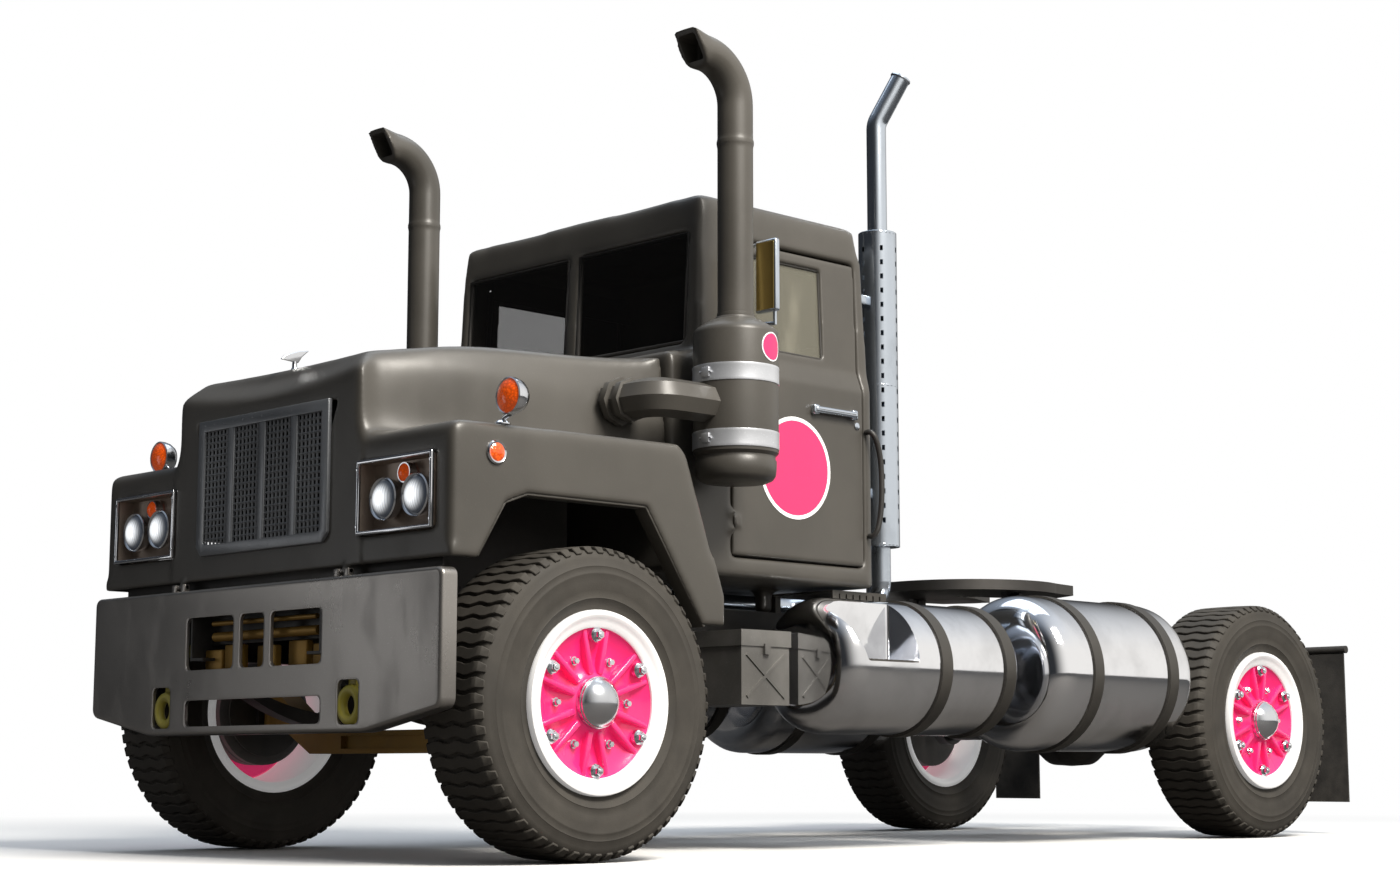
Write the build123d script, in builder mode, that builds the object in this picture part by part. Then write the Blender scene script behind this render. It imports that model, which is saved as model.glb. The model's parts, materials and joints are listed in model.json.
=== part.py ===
import os
from math import asin, cos, sin
from build123d import *

# A single-axle highway tractor. Millimetres, +X to the vehicle's left, -Y to the front, +Z up.
# Pieces are drawn with the origin on the ground under the front axle, and saved with it moved back
# to the middle of the whole tractor's length.

# Running gear
wheelbase = 4080
track_half = 934            # middle plane to the middle of a tyre
tyre_radius = 525
tread_width = 296
section_width = 330
rim_radius = 286            # bead seat
rim_lip = 24
kingpin_x = 787
axle_drop = 120             # beam centre below the wheel centre
spindle_radius = 40
run_gap = 0.5               # between a shaft and what turns on it
drum_radius = 205

# Frame
rail_outer = 400
rail_top = 930
rail_height = 240
rail_flange = 80
rail_wall = 10
rail_rear = wheelbase + 820
spring_width = 76
spring_pack = 56

# Bumper
bumper_half = 1060
bumper_front = -652
bumper_top = 945
bumper_height = 445
bumper_keel = 75            # how far the middle hangs below the ends
bumper_wall = 10
bumper_fold = 44
bumper_side_fold = 68

# Hood
hood_front = -620
hood_rear = 620
hood_wall = 18
hood_bottom = 978
hood_pivot_y = -627
hood_pivot_z = 961
nose_half = 490
nose_top = 1715
cowl_half = 755
cowl_top = 1840
fender_half = 1060
fender_top = 1425
fender_leg_bottom = 805
arch_top = 1202

# Cab
cab_half = 765
cab_half_upper = 735
cab_front = 632
cab_rear = 1800
cab_bottom = 1020
cab_top = 2490
cab_wall = 35
screen_y = 800              # foot of the windscreen
belt_low = 1800
belt_high = 1880
roof_seam = cab_top - 130
door_front = 955
door_rear = 1705
door_bottom = 1095
door_top = cab_top - 160
door_gap = 6
glass = 6

# Air intake, exhaust, tanks
stack_x = cab_half + 175
stack_y = 795
canister_radius = 158
canister_bottom = 1342
canister_top = 1905
intake_radius = 67
exhaust_x = 620
exhaust_y = cab_rear + 165
exhaust_radius = 44
guard_radius = 80
guard_low = 1205
guard_high = 2520
step_tank_radius = 262
step_tank_x = 800
step_tank_z = 700
step_tank_front = 1290
step_tank_length = 1070
main_tank_radius = 325
main_tank_x = 805
main_tank_z = 705
main_tank_front = 2500
main_tank_length = wheelbase - tyre_radius - 55 - main_tank_front
strap_width = 62
strap_wall = 8

# Coupling
plate_y = wheelbase - 820
plate_top = 1150
plate_half = 450
plate_wall = 46
kingpin_bore = 26

rail_bottom = rail_top - rail_height
rail_inner = rail_outer - rail_flange
wheel_z = tyre_radius
bumper_back = bumper_front + bumper_wall
bumper_low = bumper_top - bumper_height
nodes = []


def keep(name, part):
    """Label a finished piece and put it on the list of files."""
    part.label = name
    nodes.append((name, part))


def block(x0, x1, y0, y1, z0, z1, mode=Mode.ADD):
    """A box between two corners, in the open part."""
    with Locations(((x0 + x1) / 2, (y0 + y1) / 2, (z0 + z1) / 2)):
        Box(abs(x1 - x0), abs(y1 - y0), abs(z1 - z0), mode=mode)


def rod_x(x0, x1, y, z, radius, mode=Mode.ADD):
    """A round bar along X."""
    with Locations(Location(((x0 + x1) / 2, y, z), (0, 90, 0))):
        Cylinder(radius, abs(x1 - x0), mode=mode)


def rod_y(x, y0, y1, z, radius, mode=Mode.ADD):
    """A round bar along Y."""
    with Locations(Location((x, (y0 + y1) / 2, z), (90, 0, 0))):
        Cylinder(radius, abs(y1 - y0), mode=mode)


def rod_z(x, y, z0, z1, radius, mode=Mode.ADD):
    """A round bar along Z."""
    with Locations((x, y, (z0 + z1) / 2)):
        Cylinder(radius, abs(z1 - z0), mode=mode)


def rod_between(start, end, radius, mode=Mode.ADD):
    """A round bar between two points."""
    span = Vector(*end) - Vector(*start)
    with Locations(Plane(origin=Vector(*start) + span / 2, z_dir=span).location):
        Cylinder(radius, span.length, mode=mode)


def dome(x, y, z, radius, height, toward):
    """A shallow spherical cap on a plane face, with its apex along a direction."""
    ball = (radius ** 2 + height ** 2) / (2 * height)
    half_angle = asin(min(1, radius / ball)) / 2
    face = Plane(origin=(x, y, z), x_dir=Plane(origin=(0, 0, 0), z_dir=toward).x_dir, z_dir=toward)
    with BuildSketch(Plane(origin=face.origin, x_dir=face.x_dir, z_dir=-face.y_dir)) as half_view:
        with BuildLine():
            Line((0, -4), (0, height))
            ThreePointArc((0, height), (ball * sin(half_angle), height - ball * (1 - cos(half_angle))), (radius, 0))
            Line((radius, 0), (radius, -4))
            Line((radius, -4), (0, -4))
        make_face()
    revolve(half_view.sketch, axis=Axis((x, y, z), toward))


# Frame: two channel rails and their crossmembers
with BuildPart() as frame_rails:
    block(rail_inner, rail_outer, bumper_back, rail_rear, rail_bottom, rail_top)
    block(rail_inner, rail_outer - rail_wall, bumper_back, rail_rear,
          rail_bottom + rail_wall, rail_top - rail_wall, Mode.SUBTRACT)
    mirror(about=Plane.YZ)
    cross_half = rail_outer - rail_wall
    cross_table = [  # y of the web, depth of the flanges, height off each rail edge
        (-560, 60, 60),
        (1480, 60, 60),
        (2430, 60, 60),
        (wheelbase - 380, 60, 60),
        (wheelbase + 360, 60, 60),
    ]
    for web_y, depth, inset in cross_table:
        block(-cross_half, cross_half, web_y, web_y + rail_wall, rail_bottom + inset, rail_top - inset)
        block(-cross_half, cross_half, web_y, web_y + depth, rail_top - inset - rail_wall, rail_top - inset)
    end_plate_y = rail_rear - 14
    block(-cross_half, cross_half, end_plate_y, rail_rear, rail_bottom + rail_wall, rail_top - rail_wall)
    with BuildSketch(Plane.XZ.offset(-rail_rear)):
        with Locations((0, (rail_top + rail_bottom) / 2)):
            with GridLocations(160, 120, 2, 2):
                Circle(11)
    extrude(amount=20, mode=Mode.SUBTRACT)
keep("frame_rails", frame_rails.part)

# Bumper: a deep pressed face with a hanging middle, folded edges and open slots
slot_table = [  # x0, x1, z0, z1 of each opening, left half and middle
    (-85, 85, 645, 855),
    (103, 425, 645, 855),
    (500, 640, 440, 610),
    (-425, 425, 445, 560),
]
with BuildPart() as bumper:
    with BuildSketch(Plane.XZ.offset(-bumper_front)):
        with BuildLine():
            Polyline((-bumper_half, bumper_top), (bumper_half, bumper_top), (bumper_half, bumper_low),
                     (655, bumper_low - bumper_keel), (-655, bumper_low - bumper_keel),
                     (-bumper_half, bumper_low), close=True)
        make_face()
        fillet(vertices(), 14)
    extrude(amount=-bumper_wall)
    with BuildSketch(Plane.XY.offset(bumper_top)):
        with BuildLine():
            Polyline((-bumper_half + 14, bumper_back), (bumper_half - 14, bumper_back),
                     (bumper_half - 14, bumper_front + bumper_fold),
                     (-bumper_half + 14, bumper_front + bumper_fold), close=True)
        make_face()
    extrude(amount=-bumper_wall)
    block(-640, 640, bumper_back, bumper_front + bumper_fold,
          bumper_low - bumper_keel, bumper_low - bumper_keel + bumper_wall)
    for side in (-1, 1):
        block(side * (bumper_half - bumper_wall), side * bumper_half, bumper_back,
              bumper_front + bumper_side_fold, bumper_low + 14, bumper_top - 14)
    for x0, x1, z0, z1 in slot_table:
        block(x0, x1, bumper_front - 5, bumper_back + 5, z0, z1, Mode.SUBTRACT)
        if x0 > 0:
            block(-x1, -x0, bumper_front - 5, bumper_back + 5, z0, z1, Mode.SUBTRACT)
# Tow eyes behind the outer slots, on arms from the rails
tow_eye_radius = 57
tow_eye_y = bumper_back + tow_eye_radius
with BuildPart() as tow_eyes:
    tow_x, tow_z = 530, 515
    with BuildSketch(Plane.YZ.offset(tow_x - 18)):
        with Locations((tow_eye_y, tow_z)):
            Circle(tow_eye_radius)
            Circle(34, mode=Mode.SUBTRACT)
    extrude(amount=36)
    block(tow_x - 18, tow_x + 18, tow_eye_y - 17, tow_eye_y + 17, tow_z + tow_eye_radius - 8, rail_bottom + 60)
    block(rail_outer, tow_x + 18, tow_eye_y - 17, tow_eye_y + 17, rail_bottom + 10, rail_bottom + 60)
    mirror(about=Plane.YZ)
keep("tow_eyes", tow_eyes.part)

# Hinge brackets that carry the tilting hood, on top of the bumper
hinge_x = 500
with bumper:
    for inner in (hinge_x - 42, hinge_x + 16):
        block(inner, inner + 26, hood_pivot_y - 13, hood_pivot_y + 13, bumper_top, hood_pivot_z + 9)
    rod_x(hinge_x - 42, hinge_x + 42, hood_pivot_y, hood_pivot_z, 7)
    for inner in (-hinge_x + 42, -hinge_x - 16):
        block(inner - 26, inner, hood_pivot_y - 13, hood_pivot_y + 13, bumper_top, hood_pivot_z + 9)
    rod_x(-hinge_x - 42, -hinge_x + 42, hood_pivot_y, hood_pivot_z, 7)
keep("bumper", bumper.part)

# Front axle: a dropped forging with kingpin eyes and spring seats
beam_z = wheel_z - axle_drop
beam_depth = 92
beam_height = 84
spring_seat = beam_z + beam_height / 2
with BuildPart() as front_axle:
    with BuildSketch(Plane.XZ.offset(beam_depth / 2)):
        with BuildLine():
            Polyline((0, beam_z - 42), (500, beam_z - 42), (690, wheel_z - 60), (kingpin_x, wheel_z - 60),
                     (kingpin_x, wheel_z + 60), (700, wheel_z + 60), (480, spring_seat), (0, spring_seat),
                     close=True)
        make_face()
        mirror(about=Plane.YZ)
    extrude(amount=-beam_depth)
    for face in (-beam_depth / 2 - 1, beam_depth / 2 - 22):
        block(-300, 300, face, face + 23, beam_z - 24, beam_z + 24, Mode.SUBTRACT)
    for side in (-1, 1):
        rod_z(side * kingpin_x, 0, wheel_z - 60, wheel_z + 60, 48)
        rod_z(side * kingpin_x, 0, wheel_z - 61, wheel_z + 61, 22 + run_gap, Mode.SUBTRACT)
keep("front_axle", front_axle.part)


def spring_pack_at(middle_y, half_length, seat_z, eye_z):
    """One leaf pack: arched leaves over a seat, with a hanger at each end up to the rail."""
    x0, x1 = rail_outer - spring_width, rail_outer
    with BuildSketch(Plane.YZ.offset(x0)) as leaves:
        with BuildLine():
            ThreePointArc((middle_y - half_length, eye_z), (middle_y, seat_z + spring_pack),
                          (middle_y + half_length, eye_z))
            Line((middle_y + half_length, eye_z), (middle_y + half_length, eye_z - 20))
            ThreePointArc((middle_y + half_length, eye_z - 20), (middle_y, seat_z),
                          (middle_y - half_length, eye_z - 20))
            Line((middle_y - half_length, eye_z - 20), (middle_y - half_length, eye_z))
        make_face()
    extrude(leaves.sketch, amount=spring_width)
    for end in (-1, 1):
        hanger_y = middle_y + end * half_length
        block(x0, x1, hanger_y - 35, hanger_y + 35, eye_z - 40, rail_bottom)
    for leg in (-1, 1):
        block(x0, x1, middle_y + leg * 70 - 12, middle_y + leg * 70 + 12,
              seat_z, seat_z + spring_pack + 14)


# Rear axle: banjo housing, tubes and spindles
rear_tube = 74
with BuildPart() as rear_axle:
    with BuildSketch(Plane.XZ.offset(-wheelbase)):
        with BuildLine():
            Polyline((0, wheel_z), (0, wheel_z + 205), (90, wheel_z + 200), (190, wheel_z + 130),
                     (320, wheel_z + rear_tube), (740, wheel_z + rear_tube), (740, wheel_z + 95),
                     (800, wheel_z + 95), (800, wheel_z + 60), (820, wheel_z + 60),
                     (820, wheel_z + spindle_radius), (1010, wheel_z + spindle_radius),
                     (1010, wheel_z), close=True)
        make_face()
        mirror(about=Plane.YZ)
    revolve(axis=Axis((0, wheelbase, wheel_z), (1, 0, 0)))
    rod_y(0, wheelbase - 330, wheelbase - 150, wheel_z + 20, 95)
    for side in (-1, 1):
        block(side * (rail_outer - spring_width), side * rail_outer, wheelbase - 60, wheelbase + 60,
              wheel_z, wheel_z + 86)
keep("rear_axle", rear_axle.part)

with BuildPart() as leaf_springs:
    spring_pack_at(0, 520, spring_seat, rail_bottom - 45)
    spring_pack_at(wheelbase, 560, wheel_z + 86, rail_bottom - 25)
    mirror(about=Plane.YZ)
keep("leaf_springs", leaf_springs.part)

# Engine and gearbox as one plain mass on side mounts
engine_half = 275
engine_top = 1400
gearbox_rear = 1400
with BuildPart() as engine_block:
    block(-engine_half, engine_half, -280, 560, 615, engine_top)
    block(-190, 190, 560, gearbox_rear, 640, 925)
    for mount_y in (-150, 400):
        block(-(rail_outer - rail_wall), rail_outer - rail_wall, mount_y - 40, mount_y + 40, 760, 830)
keep("engine_block", engine_block.part)

# Propeller shaft from the gearbox to the axle's nose
with BuildPart() as drive_shaft:
    shaft_start = (0, gearbox_rear, 790)
    shaft_end = (0, wheelbase - 330, wheel_z + 20)
    with BuildLine():
        Line(shaft_start, shaft_end)
    shaft_plane = Plane(origin=shaft_start, z_dir=Vector(*shaft_end) - Vector(*shaft_start))
    with BuildSketch(shaft_plane):
        Circle(50)
    extrude(amount=(Vector(*shaft_end) - Vector(*shaft_start)).length)
    rod_y(0, gearbox_rear, gearbox_rear + 60, 790, 78)
    rod_y(0, wheelbase - 390, wheelbase - 330, wheel_z + 20, 78)
    add(engine_block.part, mode=Mode.SUBTRACT)
    add(rear_axle.part, mode=Mode.SUBTRACT)
    add(frame_rails.part, mode=Mode.SUBTRACT)
keep("drive_shaft", drive_shaft.part)

# Radiator behind the grille, standing on the rails
with BuildPart() as radiator:
    block(-370, 370, -480, -400, rail_top, 1590)
    with BuildSketch(Plane.XZ.offset(480)):
        with Locations((0, (rail_top + 1590) / 2)):
            with GridLocations(110, 0, 6, 1):
                Rectangle(70, 520)
    extrude(amount=-18, mode=Mode.SUBTRACT)
keep("radiator", radiator.part)


def tank_form(x, z, radius, front, length, grow=0):
    """A round tank along Y with rolled ends."""
    reach = radius + grow
    roll = min(60, radius / 3)
    with BuildSketch(Plane.XY.offset(z)) as half_view:
        with BuildLine():
            Polyline((x, front - grow), (x + reach - roll, front - grow),)
            ThreePointArc((x + reach - roll, front - grow),
                          (x + reach - roll * 0.293, front - grow + roll * 0.293),
                          (x + reach, front - grow + roll))
            Line((x + reach, front - grow + roll), (x + reach, front + length + grow - roll))
            ThreePointArc((x + reach, front + length + grow - roll),
                          (x + reach - roll * 0.293, front + length + grow - roll * 0.293),
                          (x + reach - roll, front + length + grow))
            Line((x + reach - roll, front + length + grow), (x, front + length + grow))
            Line((x, front + length + grow), (x, front - grow))
        make_face()
    revolve(half_view.sketch, axis=Axis((x, 0, z), (0, 1, 0)))


# Fuel tanks: a step tank under each door and a larger one behind it
with BuildPart() as fuel_tanks:
    tank_form(step_tank_x, step_tank_z, step_tank_radius, step_tank_front, step_tank_length)
    with BuildSketch(Plane.YZ.offset(step_tank_x + 95)):
        with BuildLine():
            Polyline((1385, step_tank_z + 10), (1680, step_tank_z + 10), (1680, step_tank_z + 300),
                     (1290, step_tank_z + 300), close=True)
        make_face()
    extrude(amount=200, mode=Mode.SUBTRACT)
    tank_form(main_tank_x, main_tank_z, main_tank_radius, main_tank_front, main_tank_length)
    mirror(about=Plane.YZ)
keep("fuel_tanks", fuel_tanks.part)

# Straps round each tank, with a bracket to the rail
strap_table = [  # tank x, tank z, tank radius, y of the strap
    (step_tank_x, step_tank_z, step_tank_radius, 1840),
    (step_tank_x, step_tank_z, step_tank_radius, 2240),
    (main_tank_x, main_tank_z, main_tank_radius, 2745),
    (main_tank_x, main_tank_z, main_tank_radius, 3290),
]
with BuildPart() as tank_straps:
    for x, z, radius, y in strap_table:
        with BuildSketch(Plane.XZ.offset(-y)):
            with Locations((x, z)):
                Circle(radius + strap_wall)
            with Locations(((x - radius + rail_outer) / 2 + 30, z)):
                Rectangle(x - radius - rail_outer + 60, rail_height - 40)
            with Locations((x, z)):
                Circle(radius + 0.2, mode=Mode.SUBTRACT)
        extrude(amount=strap_width / 2, both=True)
    mirror(about=Plane.YZ)
keep("tank_straps", tank_straps.part)

# Battery box on the left, air reservoir on the right, both ahead of the step tanks
with BuildPart() as battery_box:
    block(rail_outer, 760, 1005, 1265, 545, 820)
    block(rail_outer, 766, 999, 1271, 765, 826)
    with BuildSketch(Plane.YZ.offset(760)):
        with Locations((1135, 655)):
            for turn in (38, -38):
                with Locations(Location((0, 0), turn)):
                    Rectangle(260, 12)
    extrude(amount=5)
    block(760, 774, 1120, 1150, 735, 775)
keep("battery_box", battery_box.part)

with BuildPart() as air_reservoir:
    rod_y(-600, 985, 1265, 690, 125)
    block(-480, -rail_outer, 1020, 1060, 640, 740)
    block(-480, -rail_outer, 1190, 1230, 640, 740)
keep("air_reservoir", air_reservoir.part)

# Slotted tread plates above the step tanks
with BuildPart() as tread_plates:
    block(rail_outer - 60, 720, 1560, 1880, 996, 1004)
    block(712, 720, 1560, 1880, 965, 996)
    block(rail_outer - 60, rail_outer, 1570, 1600, rail_top, 996)
    block(rail_outer - 60, rail_outer, 1840, 1870, rail_top, 996)
    with BuildSketch(Plane.YZ.offset(700)):
        with Locations((1720, 981)):
            with GridLocations(40, 0, 7, 1):
                SlotOverall(22, 9, rotation=90)
    extrude(amount=30, mode=Mode.SUBTRACT)
    mirror(about=Plane.YZ)
keep("tread_plates", tread_plates.part)

# Exhaust: pipe up the back of the cab with a curved tip, and a round guard
with BuildPart() as exhaust_pipe:
    run_z = 976
    with BuildLine():
        FilletPolyline((140, 560, run_z), (140, exhaust_y, run_z), (exhaust_x, exhaust_y, run_z),
                       (exhaust_x, exhaust_y, 2990), (exhaust_x + 75, exhaust_y + 75, 3190),
                       radius=88)
    with BuildSketch(Plane.XZ.offset(-560)):
        with Locations((140, run_z)):
            Circle(exhaust_radius - 3)
    sweep()
    add(frame_rails.part, mode=Mode.SUBTRACT)
keep("exhaust_pipe", exhaust_pipe.part)

with BuildPart() as exhaust_guard:
    rod_z(exhaust_x, exhaust_y, guard_low, guard_high, guard_radius)
    rod_z(exhaust_x, exhaust_y, guard_low - 1, guard_high + 1, guard_radius - 4, Mode.SUBTRACT)
    for ring_z in (guard_low, (guard_low + guard_high) / 2, guard_high - 14):
        rod_z(exhaust_x, exhaust_y, ring_z, ring_z + 14, guard_radius - 2)
        rod_z(exhaust_x, exhaust_y, ring_z - 1, ring_z + 15, exhaust_radius - 3 + 0.2, Mode.SUBTRACT)
    for bracket_z in (1400, 2200):
        block(exhaust_x - 25, exhaust_x + 25, cab_rear, exhaust_y - guard_radius + 6,
              bracket_z, bracket_z + 40)
keep("exhaust_guard", exhaust_guard.part)


def cab_form(inset):
    """The cab's outline drawn in by an inset: side, front and plan profiles met together."""
    low, high = cab_bottom + inset, cab_top - inset
    with BuildPart(mode=Mode.PRIVATE) as form:
        with BuildSketch(Plane.YZ):
            with BuildLine():
                Polyline((cab_front + inset, low), (cab_rear - inset, low), (cab_rear - 15 - inset, belt_high),
                         (cab_rear - 65 - inset, high), (screen_y + 35 + inset, high),
                         (screen_y + inset, cowl_top + 25), (cab_front + inset, cowl_top - inset), close=True)
            make_face()
            fillet(vertices().group_by(Axis.Y)[-1].sort_by(Axis.Z)[0], 20)
        extrude(amount=cab_half + 20, both=True)
        with BuildSketch(Plane.XZ) as front_view:
            with BuildLine():
                Polyline((0, low), (cab_half - inset, low), (cab_half - inset, belt_low),
                         (cab_half_upper - inset, belt_high), (cab_half_upper - 22 - inset, high - 25),
                         (0, high), close=True)
            make_face()
            fillet(vertices().group_by(Axis.X)[-2].sort_by(Axis.Z)[-1:], 90 - inset)
            mirror(about=Plane.YZ)
        extrude(amount=-(cab_rear + 50), mode=Mode.INTERSECT)
        with BuildSketch(Plane.XY.offset(cab_bottom - 5)):
            with BuildLine():
                Polyline((-cab_half + inset, cab_front + inset), (cab_half - inset, cab_front + inset),
                         (cab_half - inset, cab_rear - inset), (-cab_half + inset, cab_rear - inset), close=True)
            make_face()
            fillet(vertices().group_by(Axis.Y)[-1], 90 - inset)
        extrude(amount=cab_top - cab_bottom + 50, mode=Mode.INTERSECT)
    return form.part


cab_outer = cab_form(0)
cab_inner = cab_form(cab_wall)

with BuildPart() as cab_skin:
    add(cab_outer)
    add(cab_inner, mode=Mode.SUBTRACT)

seam = cab_rear - 45        # where the back panel meets the sides
floor_top = cab_bottom + cab_wall + 5
big = 3000


def cab_panel(y0, y1, z0, z1):
    """The stretch of the cab's skin between two heights and two stations."""
    with BuildPart() as panel:
        block(-big, big, y0, y1, z0, z1)
        add(cab_skin.part, mode=Mode.INTERSECT)
    return panel.part


with BuildPart() as cab_floor:
    add(cab_panel(cab_front - 10, cab_rear + 10, cab_bottom - 10, floor_top))
    for side in (-1, 1):
        for foot_y in (cab_front + 68, cab_rear - 300):
            block(side * (rail_outer - 60), side * rail_outer, foot_y, foot_y + 60, rail_top, cab_bottom)
keep("cab_floor", cab_floor.part)

with BuildPart() as cab_roof:
    add(cab_panel(cab_front, cab_rear + 10, roof_seam, cab_top + 10))
keep("cab_roof", cab_roof.part)

rear_pane = (-420, 420, belt_high + 50, cab_top - 230)    # x0, x1, z0, z1
with BuildPart() as cab_back:
    add(cab_panel(seam, cab_rear + 10, floor_top, roof_seam))
    block(*rear_pane[:2], seam - 200, cab_rear + 20, *rear_pane[2:], Mode.SUBTRACT)
keep("cab_back", cab_back.part)

# Cowl and windscreen frame, with two panes and a middle post
post_half, screen_half = 32, cab_half - 110
pane_low, pane_high = belt_high + 25, cab_top - 155
dash_top = belt_low - 40
hinge_line_x, hinge_line_y = cab_half + 9, door_front + door_gap / 2
hinge_heights = (door_bottom + 135, belt_low - 140)
hinge_half, barrel_radius, hinge_pin = 42, 9, 5
with BuildPart() as cab_front_panel:
    add(cab_panel(cab_front - 10, door_front, floor_top, roof_seam))
    for side in (-1, 1):
        block(side * post_half, side * screen_half, screen_y - 80, screen_y + 120, pane_low, pane_high,
              Mode.SUBTRACT)
    block(-(cab_half - cab_wall), cab_half - cab_wall, screen_y + 20, screen_y + 45, floor_top, dash_top)
    for hinge_z in hinge_heights:
        for z0 in (hinge_z - hinge_half, hinge_z + 22):
            rod_z(hinge_line_x, hinge_line_y, z0, z0 + 20, barrel_radius)
            block(cab_half, cab_half + 6, door_front - 26, hinge_line_y, z0, z0 + 20)
            rod_z(-hinge_line_x, hinge_line_y, z0, z0 + 20, barrel_radius)
            block(-cab_half - 6, -cab_half, door_front - 26, hinge_line_y, z0, z0 + 20)
        rod_z(hinge_line_x, hinge_line_y, hinge_z - hinge_half, hinge_z + hinge_half, hinge_pin)
        rod_z(-hinge_line_x, hinge_line_y, hinge_z - hinge_half, hinge_z + hinge_half, hinge_pin)
keep("cab_front_panel", cab_front_panel.part)

# Side frames: sill, rear quarter and header round each door opening
with BuildPart() as cab_sides:
    add(cab_panel(door_front, seam, floor_top, roof_seam))
    block(-big, big, door_front - 1, door_rear, door_bottom, door_top, Mode.SUBTRACT)
keep("cab_sides", cab_sides.part)

# Doors with their window openings, each on two outside hinges
window_table = (door_front + 55, door_rear - 205, belt_high + 35, door_top - 55)    # y0, y1, z0, z1
handle_z = belt_low - 100
with BuildPart() as door_left:
    add(cab_skin.part)
    block(0, big, door_front + door_gap, door_rear - door_gap, door_bottom + door_gap,
          door_top - door_gap, Mode.INTERSECT)
    block(0, big, *window_table, Mode.SUBTRACT)
    for hinge_z in hinge_heights:
        rod_z(hinge_line_x, hinge_line_y, hinge_z - 21, hinge_z + 21, barrel_radius)
        block(cab_half, cab_half + 6, hinge_line_y, door_front + 40, hinge_z - 21, hinge_z + 21)
        rod_z(hinge_line_x, hinge_line_y, hinge_z - 22, hinge_z + 22, hinge_pin + 0.4, Mode.SUBTRACT)
    rod_y(cab_half + 24, door_rear - 310, door_rear - 65, handle_z, 9)
    for post_y in (door_rear - 300, door_rear - 75):
        rod_x(cab_half - 5, cab_half + 24, post_y, handle_z, 8)
keep("door_left", door_left.part)

with BuildPart() as door_right:
    add(mirror(door_left.part, about=Plane.YZ, mode=Mode.PRIVATE))
keep("door_right", door_right.part)


def pane(x_low, x_high, y0, y1, z0, z1):
    """A flat side window that leans with the upper body, standing in a slot of the door."""
    with BuildPart() as sheet:
        with BuildSketch(Plane.XZ.offset(-(y0 + y1) / 2)):
            with BuildLine():
                Polyline((x_low, z0), (x_low + glass, z0), (x_high + glass, z1), (x_high, z1), close=True)
            make_face()
        extrude(amount=(y1 - y0) / 2, both=True)
    return sheet.part


with BuildPart() as door_glass_left:
    add(pane(cab_half_upper - 20, cab_half_upper - 36, *window_table))
keep("door_glass_left", door_glass_left.part)

with BuildPart() as door_glass_right:
    add(mirror(door_glass_left.part, about=Plane.YZ, mode=Mode.PRIVATE))
keep("door_glass_right", door_glass_right.part)

with BuildPart() as cab_glass:
    for side in (-1, 1):
        block(side * post_half, side * screen_half, screen_y + 22, screen_y + 22 + glass, pane_low, pane_high)
    block(*rear_pane[:2], seam + 1, seam + 1 + glass, *rear_pane[2:])
keep("cab_glass", cab_glass.part)

# Cab inside: dash, steering column and wheel, two seats
with BuildPart() as dashboard:
    with BuildSketch(Plane.YZ):
        with BuildLine():
            Polyline((screen_y + 45, dash_top - 340), (screen_y + 190, dash_top - 280),
                     (screen_y + 210, dash_top - 60), (screen_y + 150, dash_top), (screen_y + 45, dash_top),
                     close=True)
        make_face()
    extrude(amount=cab_half - cab_wall - 40, both=True)
keep("dashboard", dashboard.part)

seat_x = cab_half - 385
with BuildPart() as steering_wheel:
    hub = Vector(seat_x, screen_y + 330, dash_top - 40)
    tilt = Plane(origin=hub, x_dir=(1, 0, 0), z_dir=(0, 0.64, 0.77))
    with BuildSketch(Plane(origin=hub, x_dir=tilt.x_dir, z_dir=tilt.y_dir)):
        with Locations((215, 0)):
            Circle(14)
    revolve(axis=Axis(hub, tilt.z_dir))
    with BuildSketch(tilt):
        Circle(40)
        for turn in (90, 210, 330):
            with Locations(Location((0, 0), turn)):
                with Locations((108, 0)):
                    Rectangle(206, 26)
    extrude(amount=6, both=True)
    with BuildSketch(tilt):
        Circle(24)
    extrude(amount=-420)
    add(dashboard.part, mode=Mode.SUBTRACT)
    block(-big, big, 0, screen_y + 46, 0, big, Mode.SUBTRACT)
keep("steering_wheel", steering_wheel.part)

with BuildPart() as seats:
    cushion_front, cushion_low = cab_rear - 620, cab_bottom + 310
    for x in (-seat_x, seat_x):
        block(x - 200, x + 200, cushion_front + 20, cab_rear - 160, cab_bottom + cab_wall, cushion_low)
        with BuildSketch(Plane.YZ.offset(x - 230)):
            with BuildLine():
                Polyline((cushion_front, cushion_low), (cab_rear - 150, cushion_low),
                         (cab_rear - 60, cushion_low + 680), (cab_rear - 160, cushion_low + 680),
                         (cab_rear - 240, cushion_low + 130), (cushion_front, cushion_low + 140), close=True)
            make_face()
            fillet(vertices(), 30)
        extrude(amount=460)
keep("seats", seats.part)

# Air cleaners beside the cowl, and the intake stacks above them
with BuildPart() as air_cleaners:
    with BuildSketch(Plane.XZ.offset(-stack_y)):
        with BuildLine():
            Polyline((stack_x, canister_bottom), (stack_x + 120, canister_bottom),
                     (stack_x + 150, canister_bottom + 30), (stack_x + 150, 1450),
                     (stack_x + canister_radius, 1458), (stack_x + canister_radius, canister_top),
                     (stack_x + 100, canister_top + 36), (stack_x + intake_radius + 8, canister_top + 50),
                     (stack_x, canister_top + 50), close=True)
        make_face()
    revolve(axis=Axis((stack_x, stack_y, 0), (0, 0, 1)))
    for band_z in (1460, 1702):
        rod_z(stack_x, stack_y, band_z, band_z + 64, canister_radius + 3)
        block(cab_half, stack_x - 120, stack_y - 30, stack_y + 30, band_z + 12, band_z + 52)
    mirror(about=Plane.YZ)
keep("air_cleaners", air_cleaners.part)

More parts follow.
